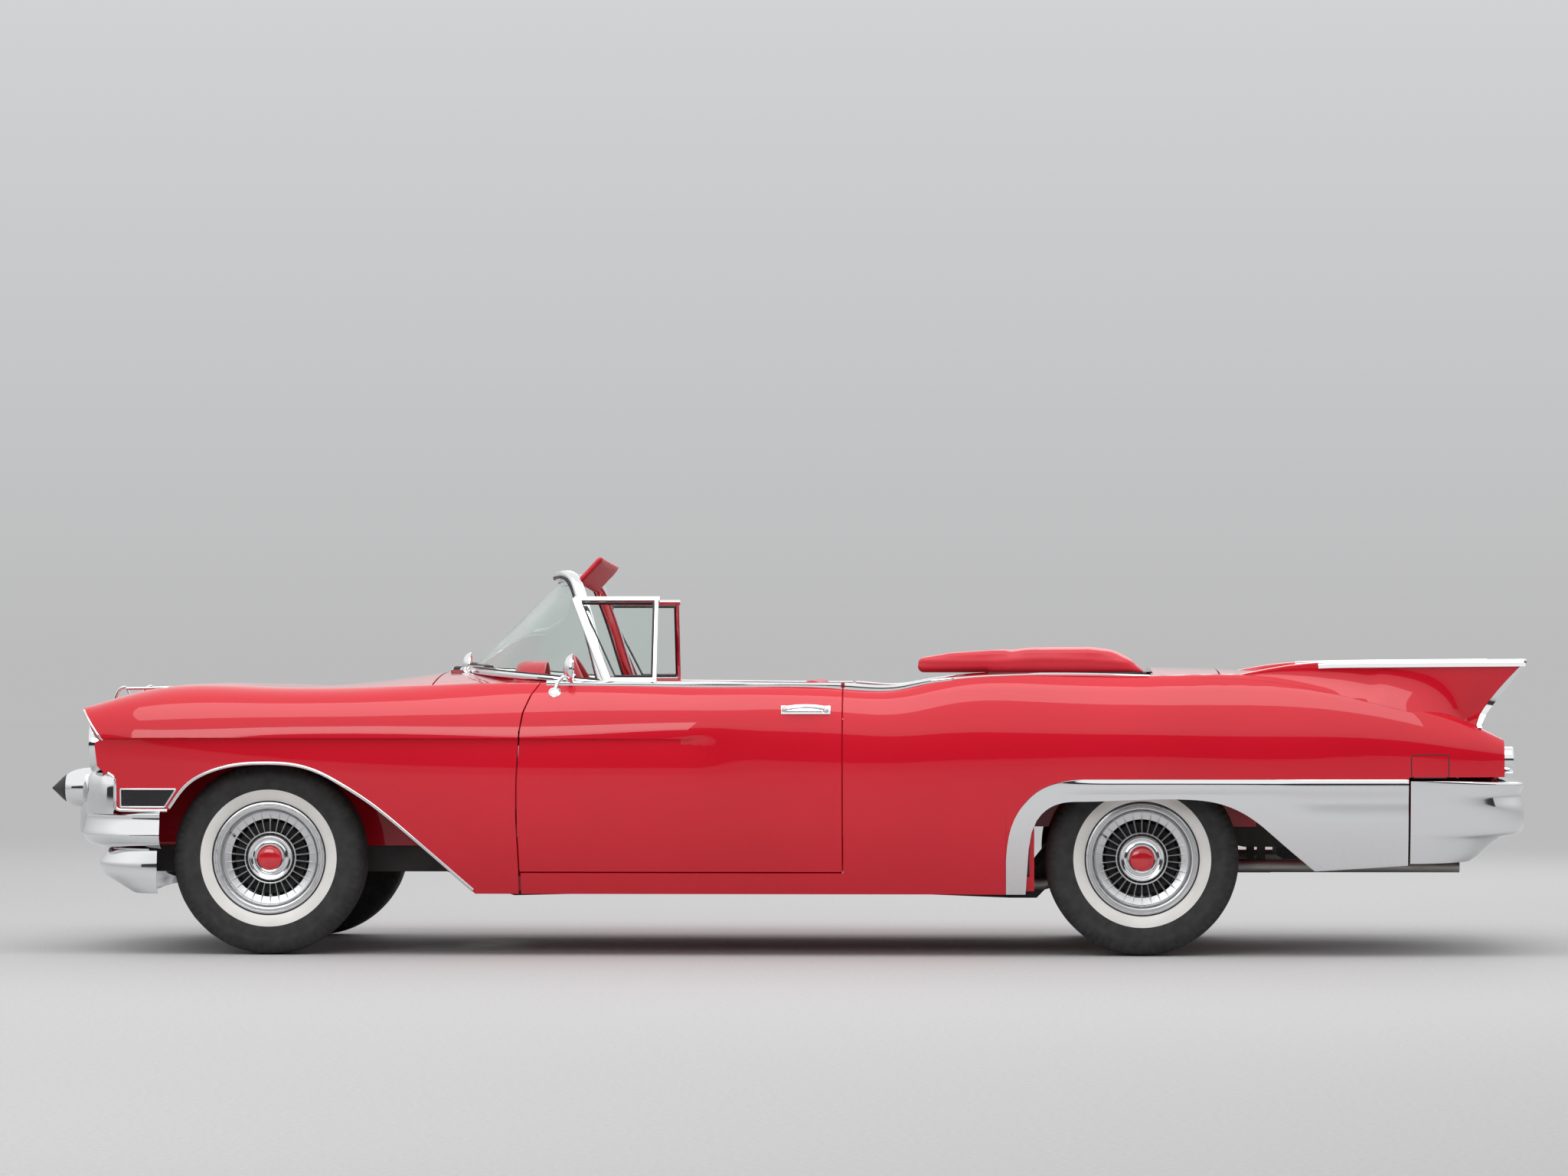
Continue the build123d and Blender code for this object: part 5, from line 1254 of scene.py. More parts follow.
handle_xz = [(x, 924 + 3 * math.sin((x - 5) / 180 * math.pi)) for x in np.linspace(8, 176, 25)]
path, ups = on_side(handle_xz)
lift = [26 * math.sin(math.pi * min(max((x - 8) / 168, 0.0), 1.0)) ** 0.35 for x, _ in handle_xz]
path = [tuple(Vector(p) + Vector(u) * h) for p, u, h in zip(path, ups, lift)]
grip = sweep("handle_grip", path, rounded_bar(17, 9, 4), chrome_plate, ups)
plate_path, plate_ups = on_side([(x, 924) for x in np.linspace(2, 186, 12)])
plate_path = [tuple(Vector(p) + Vector(u) * 1.2) for p, u in zip(plate_path, plate_ups)]
plate = sweep("handle_plate", plate_path, rounded_bar(36, 3, 1.4, 2), chrome_plate, plate_ups)
y_button, _ = side_point(168, 924)
button = turned("handle_button", (168, y_button, 924), side_normal(168, 924),
                [(0, 13), (14, 13), (17, 10.5), (18, 6), (18, 0)], chrome_plate)
handle = join("door_handle_right", [grip, plate, button])

# %% Mirrors: a leaf-shaped foot, a stem and a round head facing back
mirror_glass, tree, shader = finish("mirror_glass", (0.90, 0.92, 0.94), 0.02, metallic=1.0)
vary(tree, shader, "Roughness", 4, 0.01, 0.03)


def round_mirror(name, foot, foot_normal, knee, head, radius=56):
    """A chrome mirror on a stem, its glass facing the tail."""
    stem = sweep(name + "_stem", smooth_path([foot, knee, (head[0] + 4, head[1], head[2] - radius * 0.35)], 14),
                 rounded_bar(15, 15, 7, 3), chrome_plate, [(1, 0.2, 0)] * 14, scale=lambda t: 1.25 - 0.6 * t)
    shell = turned(name + "_shell", head, (1, 0, 0),
                   [(-30, 0), (-29, radius * 0.3), (-24, radius * 0.6), (-14, radius * 0.85), (-3, radius * 0.98),
                    (3, radius), (6, radius - 1), (6, radius - 5), (3, radius - 6)], chrome_plate, 48)
    glass = turned(name + "_glass", head, (1, 0, 0), [(3, radius - 5.5), (4.5, radius * 0.5), (5, 0)], mirror_glass, 48)
    base = turned(name + "_base", foot, foot_normal, [(-3, 25), (2, 24), (6, 18), (9, 9), (9, 0)], chrome_plate, 32)
    return join(name, [shell, stem, base, glass])


left_foot_y, left_foot_z = side_point(-850, 990)
door_mirror = round_mirror("door_mirror_left", (-850, -left_foot_y, left_foot_z),
                           Vector((0, -side_normal(-850, 985).y, side_normal(-850, 985).z)),
                           (-826, -898, 1045), (-790, -905, 1079))
fender_mirror = round_mirror("fender_mirror_right", (-1340, 850, 1021), (0, 0, 1), (-1338, 850, 1048),
                             (-1330, 850, 1090), 52)

# %% Carry them
single(surround, "body", ("windshield_frame",))
single(gasket, "body", ())
single(foot_moulding, "body", ())
single(foot_gasket, "body", ())
single(fender_mirror, "body", ())
pair(vent_frame, "door_right", ("door_brightwork_right",), left_body="door_left")
pair(handle, "door_right", (), left_body="door_left")
single(door_mirror, "door_left", ())
print("surround, vents, handles and mirrors carried")

# %% [markdown]
# ## Bumpers, grille and lamps
# Each bumper bar is a grid between two plan curves, one for its outer face and one for how far it can turn
# under. A section table gives the share of that depth at each height, so corners never fold over. The
# pods, lamps and cone tips are turned forms.


# %% Bumper bars
def plan_curve(half, count):
    """Evenly spaced points on a smooth plan curve, given by its right half from the middle outwards."""
    half = np.array(half, float)
    chord = chord_lengths(half)
    curve_x, curve_y = fair_curve(chord, half[:, 0]), fair_curve(chord, half[:, 1])
    return [(float(curve_x(s)), float(curve_y(s))) for s in np.linspace(0, chord[-1], count)]


def bumper_bar(name, outer, inner, section, count=60, end_section=None, turn=0.6, sheet=0.03):
    """A bright bar across the car; section is (share of depth, z), blended to end_section past the turn."""
    outer, inner = plan_curve(outer, count), plan_curve(inner, count)
    stations_ = list(range(count - 1, 0, -1)) + list(range(count))
    vertices = []
    for k, i in enumerate(stations_):
        sign = -1 if k < count - 1 else 1
        blend = min(max((i / (count - 1) - turn) / (1 - turn), 0), 1) if end_section else 0.0
        blend = ease(blend)
        ring = [((1 - blend) * a[0] + blend * (end_section or section)[j][0],
                 (1 - blend) * a[1] + blend * (end_section or section)[j][1]) for j, a in enumerate(section)]
        ring += [(share + sheet, z) for share, z in reversed(ring)]
        for share, z in ring:
            x = outer[i][0] + share * (inner[i][0] - outer[i][0])
            y = outer[i][1] + share * (inner[i][1] - outer[i][1])
            vertices.append((x, sign * y, z))
    rows = 2 * len(section)
    columns = len(stations_)
    faces = ring_faces(columns, rows)
    for i in (0, (columns - 1) * rows):
        for j in range(len(section) - 1):
            faces.append((i + j, i + j + 1, i + rows - 2 - j, i + rows - 1 - j))
    return tidy(new_object(name, vertices, faces, chrome_plate, 28))


def rounded_section(points, steps=5):
    """A section table with its joints rounded by a local quadratic, keeping the ends."""
    points = [tuple(map(float, p)) for p in points]
    result = [points[0]]
    for before, at, after in zip(points, points[1:], points[2:]):
        enter = ((before[0] + at[0]) / 2, (before[1] + at[1]) / 2)
        leave = ((at[0] + after[0]) / 2, (at[1] + after[1]) / 2)
        for k in range(steps + 1):
            t = k / steps
            result.append(tuple((1 - t) ** 2 * enter[n] + 2 * t * (1 - t) * at[n] + t * t * leave[n] for n in (0, 1)))
    result.append(points[-1])
    return [p for i, p in enumerate(result) if i == 0 or p != result[i - 1]]


front_bar = bumper_bar(
    "front_bar", ((-2700, 0), (-2700, 300), (-2692, 520), (-2662, 680), (-2590, 830), (-2470, 945), (-2337, 978)),
    ((-2600, 0), (-2600, 290), (-2590, 480), (-2560, 610), (-2500, 730), (-2420, 810), (-2337, 860)),
    rounded_section(((0.62, 541), (0.20, 540), (0.10, 530), (0.13, 517), (0.08, 490), (0.0, 456), (0.0, 444),
                     (0.16, 416), (0.55, 400))))
front_low = bumper_bar(
    "front_low_bar", ((-2650, 0), (-2645, 300), (-2625, 560), (-2560, 780), (-2460, 900), (-2350, 945)),
    ((-2430, 0), (-2428, 250), (-2415, 450), (-2395, 620), (-2372, 720), (-2350, 770)),
    rounded_section(((0.20, 394), (0.16, 392), (0.03, 352), (0.0, 340), (0.02, 312), (0.10, 288), (0.45, 254),
                     (0.90, 236), (1.0, 233))),
    end_section=rounded_section(((0.06, 394), (0.05, 392), (0.01, 352), (0.0, 340), (0.0, 312), (0.01, 288),
                                 (0.05, 254), (0.10, 236), (0.12, 233))), turn=0.55)


def side_share(z):
    """How far the body's lower side sits inside the rear bar's outer line, as a share of its depth."""
    y, _ = side_point(2343, min(max(z, 345), 664), TRIM_PROUD)
    return (975 - y) / 165


rear_section = rounded_section(((0.24, 652), (0.10, 655), (0.02, 652), (0.0, 642), (0.03, 628), (0.06, 606),
                                (0.04, 586), (0.01, 560), (0.0, 530), (0.0, 490), (0.03, 466), (0.14, 458),
                                (0.33, 450), (0.55, 420), (0.78, 382), (1.0, 366)))
rear_ends = [(side_share(350 + (z - 366) * (660 - 350) / (655 - 366)), 350 + (z - 366) * (660 - 350) / (655 - 366))
             for share, z in rear_section]
rear_bar = bumper_bar(
    "rear_bar", ((2820, 0), (2814, 400), (2796, 700), (2752, 880), (2640, 950), (2500, 968), (2351, 975)),
    ((2566, 0), (2562, 350), (2552, 600), (2520, 740), (2460, 790), (2410, 805), (2351, 810)),
    rear_section, end_section=rear_ends, turn=0.5)

# %% Pods, wings, guards and cone tips
POD_Y, POD_Z, CONE_X = 480, 620, -2761
front_parts = [front_bar, front_low]


def park_place(sign):
    """Where a parking lamp sits, and which way it faces."""
    return (-2650, sign * 690, 606), (-0.94, sign * 0.34, 0)


tips = []
for sign in (1, -1):
    pod_profile = [(0, 74), (40, 78), (75, 79.5), (110, 77), (140, 70.5), (161, 62), (171, 55.5), (174, 53), (174, 0)]
    front_parts.append(turned("pod", (-2587, sign * POD_Y, POD_Z), (-1, 0, 0), pod_profile, chrome_plate, 48))
    tips.append(turned("tip", (CONE_X, sign * POD_Y, POD_Z), (-1, 0, 0),
                       [(0, 0), (0, 52.5), (3, 52), (18, 40), (38, 20.5), (52, 7.5), (57, 3), (58.5, 0)],
                       black_rubber, 40))
    wing = sweep("wing", smooth_path([(-2662, 480, 0), (-2662, 600, 0), (-2645, 740, 0), (-2612, 830, 0),
                                      (-2573, 908, 0), (-2552, 940, 0), (-2512, 953, 0)], 30),
                 [(0, 532), (-2, 600), (0, 640), (6, 668), (18, 684), (34, 690), (46, 689), (40, 660), (14, 640),
                  (12, 560), (12, 532)], chrome_plate)
    if sign < 0:
        for vertex in wing.data.vertices:
            vertex.co.y = -vertex.co.y
        wing.data.flip_normals()
    front_parts.append(wing)
    guard = sweep("guard", smooth_path([(-2655, sign * POD_Y, 452), (-2655, sign * POD_Y, 520),
                                        (-2650, sign * POD_Y, 600)], 8), rounded_bar(116, 104, 44, 6), chrome_plate,
                  [(-1, 0, 0)] * 8)
    front_parts.append(guard)
    park = turned("park", *park_place(sign), [(0, 46), (8, 46), (11, 43), (11, 39)], chrome_plate, 40)
    front_parts.append(park)
front_bumper = join("front_bumper_bright", front_parts)
bumper_tips = join("bumper_cone_tips", tips)

# %% Lamp lenses
reflector, tree, shader = finish("reflector", (0.90, 0.91, 0.92), 0.18, metallic=1.0)
vary(tree, shader, "Roughness", 14, 0.12, 0.26)
dark_metal, tree, shader = finish("dark_metal", (0.10, 0.10, 0.105), 0.38, metallic=0.8)
vary(tree, shader, "Roughness", 30, 0.30, 0.48)

lamp_parts, tail_parts, park_parts = [], [], []
for sign in (1, -1):
    centre = (-2600, sign * 800, 790)
    lamp_parts.append(turned("bezel", centre, (-1, 0, 0),
                             [(-39, 100), (-10, 103), (6, 103.5), (14, 101), (17, 96), (16, 90), (10, 87.5), (2, 87)],
                             chrome_plate, 64))
    lamp_parts.append(turned("lens", centre, (-1, 0, 0),
                             [(8, 88), (13, 80), (20, 62), (25, 42), (28, 20), (29, 0)], lamp_glass, 64))
    lamp_parts.append(turned("reflector", centre, (-1, 0, 0),
                             [(8, 86), (-4, 70), (-16, 48), (-24, 24), (-26, 0)], reflector, 48))
    lamp_parts.append(turned("lens_rim", centre, (-1, 0, 0), [(4, 90), (12, 89), (14, 86), (12, 82)], chrome_plate, 64))
    tail = (2684.5, sign * 838, 737)
    tail_parts.append(turned("tail_ring", tail, (1, 0, 0),
                             [(0, 49), (38, 49.5), (50, 50), (56, 48), (57.5, 44), (56, 40), (50, 38)],
                             chrome_plate, 56))
    tail_parts.append(turned("tail_lens", tail, (1, 0, 0),
                             [(48, 39), (52, 34), (52, 30), (55, 27), (55, 22), (57, 18), (57, 0)], tail_glass, 56))
    park_parts.append(turned("park_lens", *park_place(sign), [(8, 40), (13, 34), (16, 22), (18, 0)], lamp_glass, 40))
headlamp_set = join("headlamp_set", lamp_parts)
tail_set = join("tail_lamp_set", tail_parts)
park_set = join("parking_lenses", park_parts)

# %% Fender brow, corner moulding and side vent
path, ups = on_side([(-2636, 922), (-2618, 897), (-2600, 870), (-2580, 841), (-2566, 822), (-2556, 812)])
brow = sweep("fender_brow_right", path, half_round(9, 5), chrome_plate, ups)
path, ups = on_side([(-2536, 686), (-2520, 676), (-2511, 662), (-2508, 640), (-2508, 600), (-2508, 562),
                     (-2502, 551), (-2490, 547), (-2450, 546), (-2400, 545), (-2350, 545), (-2309, 546)])
corner = sweep("fender_corner_right", path, half_round(13, 6), chrome_plate, ups)
MESH = ((-2487, 626), (-2275, 626), (-2319, 559), (-2487, 559))
vent_parts = []
for a, b in zip(MESH, MESH[1:] + MESH[:1]):
    path, ups = on_side([(a[0] + (b[0] - a[0]) * t, a[1] + (b[1] - a[1]) * t) for t in np.linspace(0, 1, 8)])
    vent_parts.append(sweep("vent_edge", path, half_round(8, 6), chrome_plate, ups))
for z in np.linspace(565, 620, 12):
    end = -2319 + (z - 559) / 67 * 44
    path, ups = on_side([(x, z) for x in np.linspace(-2485, end, 8)])
    vent_parts.append(sweep("vent_wire", path, [(-1.2, 0.6), (0, 2.6), (1.2, 0.6)], dark_metal, ups))
for x in np.arange(-2480, -2280, 7.0):
    low = 560 if x < -2319 else 559 + (x + 2319) / 44 * 67
    path, ups = on_side([(x, z) for z in np.linspace(low, 625, 4)])
    vent_parts.append(sweep("vent_wire", path, [(-1.2, 0.6), (0, 2.2), (1.2, 0.6)], dark_metal, ups))
# a flat black sheet just proud of the fender behind the wires: painted shade standing in for the dark hollow behind the
# mesh
xs = np.linspace(-2486, -2277, 20)
vertices = []
for x in xs:
    low = 559.5 if x < -2319 else 559.5 + (x + 2319) / 44 * 66
    for z in np.linspace(low, 625.5, 6):
        y, _ = side_point(x, z, 0.5)
        vertices.append((x, y + 0.5, z))
vent_parts.append(new_object("vent_back", vertices, grid_faces(20, 6), black_rubber, 30))
side_vent = join("side_vent_right", vent_parts)

# %% Grille frame, with rounded corners
corners_yz = corner_arcs(((560, 832), (-560, 832), (-560, 600), (560, 600)), 44, 6)
dense = []
for (y0, z0), (y1, z1) in zip(corners_yz, corners_yz[1:]):
    dense += [(-2606, y0 + (y1 - y0) * t, z0 + (z1 - z0) * t) for t in (0, 0.5)]
dense.append(dense[0])
grille_frame = sweep("grille_frame", dense, half_round(16, 7), chrome_plate, [(-1, 0, 0)] * len(dense))

# %% Carry the ends
single(front_bumper, "body", ("front_bumper",))
single(bumper_tips, "body", ("bumper_tips",))
single(rear_bar, "body", ("rear_bumper",))
single(headlamp_set, "body", ("headlamps", "headlamp_bezels"))
single(tail_set, "body", ("tail_lamps",))
single(park_set, "body", ())
pair(brow, "body", ())
pair(corner, "body", ())
pair(side_vent, "body", ())
single(grille_frame, "body", ())
print("bumpers, lamps and side vents carried")

# %% [markdown]
# ## Seats and folded top
# Each cushion starts as a rounded form a little smaller than it should end, is remeshed and swollen by cloth
# pressure, and then gets its sewn channels. The folded top is one padded cover with two forward horns and a
# piped edge.


# %% Padded forms
def rounded_outline(points, radius, steps=6):
    """A closed (x, z) outline with its corners rounded by short curves."""
    result = []
    count = len(points)
    for i in range(count):
        before, at, after = (Vector((*points[(i + k) % count], 0)) for k in (-1, 0, 1))
        reach = min(radius, (before - at).length * 0.48, (after - at).length * 0.48)
        enter, leave = at + (before - at).normalized() * reach, at + (after - at).normalized() * reach
        for k in range(steps + 1):
            t = k / steps
            p = enter * (1 - t) ** 2 + at * 2 * t * (1 - t) + leave * t * t
            result.append((p.x, p.y))
    return result


def pillow(name, outline, y_low, y_high, dome, material, bow=0.0):
    """A closed form with an (x, z) outline, domed towards both ends; bow draws its rear in at the sides."""
    xs, zs = [p[0] for p in outline], [p[1] for p in outline]
    cx, cz = (min(xs) + max(xs)) / 2, (min(zs) + max(zs)) / 2
    middle, half = (y_low + y_high) / 2, (y_high - y_low) / 2
    inside = list(np.linspace(-(half - dome), half - dome, max(int((y_high - y_low) / 60), 4)))
    tail = [half - dome + dome * math.sin(math.radians(a)) for a in (15, 30, 45, 60, 75, 90)]
    ys = [-t for t in reversed(tail)] + inside + tail
    vertices = []
    for y in ys:
        over = max(0.0, (abs(y) - (half - dome)) / dome)
        size = math.sqrt(max(0.0, 1 - over ** 2.4))
        shrink_x = 1 - (1 - size) * min(1, 1.4 * dome / (max(xs) - min(xs)))
        shrink_z = 1 - (1 - size) * min(1, 1.4 * dome / (max(zs) - min(zs)))
        for x, z in outline:
            drawn = bow * (abs(y) / half) ** 2 * (x - min(xs)) / (max(xs) - min(xs))
            vertices.append((cx + (x - cx) * shrink_x - drawn, middle + y, cz + (z - cz) * shrink_z))
    rows = len(outline)
    faces = ring_faces(len(ys), rows)
    faces += [tuple(range(rows)), tuple(range((len(ys) - 1) * rows, len(ys) * rows))]
    return tidy(new_object(name, vertices, faces, material, 60))


def padding(obj, voxel_mm=16.0, pressure=4.0, cap_mm=12.0, smooth=4):
    """Remesh a closed form, swell it with cloth pressure up to a cap, and smooth it."""
    remesh = obj.modifiers.new("remesh", "REMESH")
    remesh.mode = "VOXEL"
    remesh.voxel_size = voxel_mm * MM
    soften = obj.modifiers.new("soften", "SMOOTH")
    soften.factor, soften.iterations = 0.5, smooth
    apply_modifiers(obj)
    before = np.array([v.co[:] for v in obj.data.vertices])
    cloth = obj.modifiers.new("padding", "CLOTH")
    cloth.settings.quality = 5
    cloth.settings.mass = 0.3
    cloth.settings.tension_stiffness = 15
    cloth.settings.compression_stiffness = 15
    cloth.settings.bending_stiffness = 0.5
    cloth.settings.use_pressure = True
    cloth.settings.uniform_pressure_force = pressure
    cloth.settings.effector_weights.gravity = 0
    cloth.collision_settings.use_collision = False
    for step in range(1, 21):
        bpy.context.scene.frame_set(step)
    evaluated = obj.evaluated_get(bpy.context.evaluated_depsgraph_get())
    after = np.array([v.co[:] for v in evaluated.data.vertices])
    obj.modifiers.remove(cloth)
    bpy.context.scene.frame_set(1)
    move = after - before
    length = np.linalg.norm(move, axis=1, keepdims=True)
    move *= np.minimum(1.0, cap_mm * MM / np.maximum(length, 1e-9))
    for vertex, place in zip(obj.data.vertices, before + move):
        vertex.co = place
    soften = obj.modifiers.new("soften", "SMOOTH")
    soften.factor, soften.iterations = 0.5, 2
    divide = obj.modifiers.new("divide", "SUBSURF")
    divide.levels = divide.render_levels = 1
    apply_modifiers(obj)
    shade(obj, 60)
    return obj


def sew(obj, lines, depth_mm, width_mm, along="y", where=None):
    """Press sewn channels into a padded form, along given places on one axis."""
    index = "xyz".index(along)
    lines = np.array(lines) * MM
    mesh = obj.data
    moves = []
    for vertex in mesh.vertices:
        if where and not where(vertex.co / MM, vertex.normal):
            moves.append(None)
            continue
        near = float(np.min(np.abs(lines - vertex.co[index])))
        moves.append(vertex.normal * (-depth_mm * MM * math.exp(-(near / (width_mm * MM)) ** 2)))
    for vertex, move in zip(mesh.vertices, moves):
        if move is not None:
            vertex.co = vertex.co + move
    return obj


def piping(name, points, material, radius=5.0):
    """A thin round cord sewn along an edge."""
    circle = [(radius * math.cos(a), radius * math.sin(a)) for a in np.linspace(0, 2 * math.pi, 9)[:-1]]
    return sweep(name, points, circle, material, [(0.3, 1, 0.2)] * len(points))


# %% Front and rear seats
def seat_piece(name, corners, radius, half, dome, channels, faces_up):
    """One padded seat part with sewn channels on its upper or its front face."""
    piece = pillow(name, rounded_outline(corners, radius), -half, half, dome, red_leather)
    padding(piece)

    def sewn(place, normal):
        facing = normal.z > 0.25 if faces_up else normal.x < -0.25
        return facing and abs(place.y) < half - 70

    sew(piece, channels, 7.0, 7.0, where=sewn)
    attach(piece, "body")
    return piece


front_lines = [s * y for y in np.arange(37.5, 640, 75.0) for s in (-1, 1)]
rear_lines = [s * y for y in np.arange(37.5, 580, 75.0) for s in (-1, 1)]
front_cushion = seat_piece("front_seat_cushion", ((-478, 362), (-480, 508), (-460, 512), (40, 478), (56, 362)),
                           60, 688, 70, front_lines, True)
seat_piece("front_seat_back", ((74, 410), (36, 500), (66, 1010), (80, 1046), (140, 1048), (176, 410)),
           40, 688, 60, front_lines, False)
rear_cushion = seat_piece("rear_seat_cushion", ((440, 462), (430, 590), (450, 592), (780, 560), (780, 462)),
                          50, 628, 60, rear_lines, True)
seat_piece("rear_seat_back", ((800, 540), (852, 972), (890, 974), (893, 540)),
           20, 628, 40, rear_lines, False)
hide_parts("front_seat")
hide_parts("rear_seat")

# %% Folded top under its cover
main_profile = ((774, 1058), (770, 1112), (790, 1134), (926, 1150), (1180, 1153), (1262, 1142), (1326, 1118),
                (1390, 1068), (1384, 1058))
boot = pillow("folded_top_cover", rounded_outline(main_profile, 12), -790, 790, 30, red_vinyl, bow=24)
horns = []
for sign in (1, -1):
    low, high = sorted((sign * 664, sign * 786))
    horn = pillow("horn", rounded_outline(((506, 1066), (504, 1106), (520, 1124), (618, 1138), (850, 1147),
                                           (850, 1066)), 12), low, high, 22, red_vinyl)
    horns.append(horn)
boot = join("folded_top_cover", [boot] + horns)
padding(boot, voxel_mm=13.0, cap_mm=8.0, smooth=2)
moves = []
for vertex in boot.data.vertices:
    x, y, z = vertex.co / MM
    if z > 1095 and vertex.normal.z > 0:
        pull = 1.6 * math.sin(z * 0.16 + 0.9 * math.sin(x * 0.011)) * min(1, max(0, (abs(y) - 640) / 100))
        sag = 3.0 * math.sin(y * 0.021) * math.sin((x - 780) * 0.006)
        moves.append((vertex, vertex.normal * (pull + sag * max(0, 1 - abs(y) / 700)) * MM))
for vertex, move in moves:
    vertex.co = vertex.co + move
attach(boot, "body")
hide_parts("top_boot")
edge = [(x, 786 + 6 * math.sin((x - 776) / 560 * 1.6), 1062) for x in np.linspace(776, 1300, 20)]
rear_edge = [(1386 - 36 * (abs(y) / 790) ** 2, y, 1064) for y in np.linspace(700, -700, 30)]
trim_path = smooth_path(edge + [(1345, 770, 1063)] + rear_edge[::3] + [(1345, -770, 1063)]
                        + [(x, -y, z) for x, y, z in reversed(edge)], 120)
boot_piping = piping("folded_top_piping", trim_path, black_rubber, 4.0)
single(boot_piping, "body", ())
print("seats and folded top done")

# %% Raised visor, a padded board
VISOR_LENGTH, VISOR_DEPTH = 360, 142
visor_outline = rounded_outline(((0, 0), (VISOR_LENGTH, 0), (VISOR_LENGTH, VISOR_DEPTH), (0, VISOR_DEPTH)), 26)
vertices = []
for side in (-1, 1):
    for u, v in visor_outline:
        t = u / VISOR_LENGTH
        x = -797 + 97 / VISOR_DEPTH * v + 46 * t + side * 7 * 0.74
        z = 1404 + 104 / VISOR_DEPTH * v - 34 * t - side * 7 * 0.68
        vertices.append((x, -560 + u, z))
count = len(visor_outline)
faces = [tuple(range(count)), tuple(reversed(range(count, 2 * count)))]
faces += [(i, (i + 1) % count, (i + 1) % count + count, i + count) for i in range(count)]
visor = tidy(new_object("sun_visor", vertices, faces, red_vinyl, 60))
padding(visor, voxel_mm=6.0, cap_mm=4.0, smooth=3)
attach(visor, "body")
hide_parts("sun_visors")
rod_points = [(-822, -604, 1404), (-802, -580, 1408), (-790, -552, 1410), (-770, -440, 1400)]
rod = sweep("visor_rod", smooth_path(rod_points, 16), rounded_bar(9, 9, 4.4, 3), chrome_plate, [(0.3, 0, 1)] * 16)
single(rod, "body", ())

# %% Dashboard, instrument hood and dials
dash_profile = rounded_outline(((-1060, 988), (-955, 992), (-932, 972), (-936, 905), (-968, 862), (-984, 800),
                                (-1002, 706), (-1060, 706)), 16)
dash = sweep("dashboard_shell", [(0, y, 0) for y in np.linspace(-770, 770, 24)], [(-x, z) for x, z in dash_profile],
             red_vinyl, [(0, 0, 1)] * 24)
rings = ((-1040, 0.72), (-1030, 0.90), (-1010, 0.985), (-985, 1.0), (-930, 1.0), (-920, 0.985), (-917, 0.955),
         (-919, 0.925), (-935, 0.915), (-985, 0.90))
steps = 64
DIAL_Y, DIAL_Z = -400, 985
vertices = []
for i in range(steps):
    angle = 2 * math.pi * i / steps
    vertices.extend((x, DIAL_Y + 188 * size * math.cos(angle), DIAL_Z + 123 * size * math.sin(angle))
                    for x, size in rings)
hood_shell = tidy(new_object("instrument_hood", vertices, grid_faces(steps, len(rings), closed=True), red_vinyl, 45))
dials = [dash, hood_shell]
face_ring = [(-984, DIAL_Y + 170 * math.cos(a), DIAL_Z + 111 * math.sin(a))
             for a in np.linspace(0, 2 * math.pi, 49)[:-1]]
dial_face = new_object("dial_face", face_ring, [tuple(range(48))], black_rubber, 30)
dials.append(dial_face)
for y, radius in ((-400, 52), (-292, 32), (-508, 32)):
    dials.append(turned("dial_rim", (-983, y, 1020), (1, 0, 0),
                        [(0, radius), (7, radius), (8, radius - 3), (3, radius - 5), (1, radius - 6)],
                        chrome_plate, 40))
strip = sweep("dash_strip", [(-930, y, 940) for y in np.linspace(-150, 765, 30)],
              [(-3, -16), (2, -15), (3, 0), (2, 15), (-3, 16)], chrome_plate, [(0, 0, 1)] * 30)
dials.append(strip)
dashboard = join("dashboard_dressed", dials)
single(dashboard, "body", ("dashboard",))

# %% Steering wheel dressing: horn ring and centre cap
TILT = math.radians(28)
wheel_normal = Vector((math.cos(TILT), 0, math.sin(TILT)))
wheel_up = Vector((-math.sin(TILT), 0, math.cos(TILT)))
wheel_at = Vector((-720, -400, 930))
horn_path = [tuple(wheel_at + wheel_normal * 4 + Vector((0, 1, 0)) * 150 * math.cos(a) + wheel_up * 150 * math.sin(a))
             for a in np.linspace(math.radians(200), math.radians(340), 40)]
horn = sweep("horn_ring", horn_path, rounded_bar(8, 8, 3.9, 3), chrome_plate, [tuple(wheel_normal)] * 40)
cap = turned("horn_cap", tuple(wheel_at + wheel_normal * 6), tuple(wheel_normal),
             [(0, 42), (10, 41), (18, 34), (23, 20), (25, 0)], chrome_plate, 40)
wheel_dressing = join("horn_ring", [horn, cap])
single(wheel_dressing, "steering_wheel", ())

# %% Door cards with pleats, arm rest and crank
card_xs = np.linspace(-915, 196, 60)
card_zs = np.linspace(372, 955, 26)
vertices = []
for x in card_xs:
    for z in card_zs:
        pleat = 0.0
        if 560 < z < 850 and -850 < x < 150:
            pleat = 3.5 * abs(math.sin(math.pi * (x + 850) / 62.5))
        edge_in = min(1, min(x + 915, 196 - x, z - 372, 955 - z) / 12)
        vertices.append((x, 849.5 - 5 * edge_in - pleat, z))
card_back = new_object("door_card", vertices, grid_faces(60, 26), red_leather, 60)
rest_path = smooth_path([(-560, 838, 700), (-480, 822, 716), (-300, 808, 722), (-60, 808, 722), (60, 828, 712),
                         (110, 840, 700)], 30)
rest_pad = sweep("arm_rest", rest_path, rounded_bar(60, 44, 18, 5), red_leather, [(0, 0, 1)] * 30)
trim_strip = sweep("card_strip", [(x, 843.5, 868) for x in np.linspace(-905, 188, 30)], rounded_bar(12, 5, 2, 2),
                   chrome_plate, [(0, -1, 0)] * 30)
crank_arm = sweep("crank", [(-640, 838, 640), (-620, 830, 610), (-590, 826, 575)], rounded_bar(12, 8, 3, 2),
                  chrome_plate, [(0, -1, 0)] * 3)
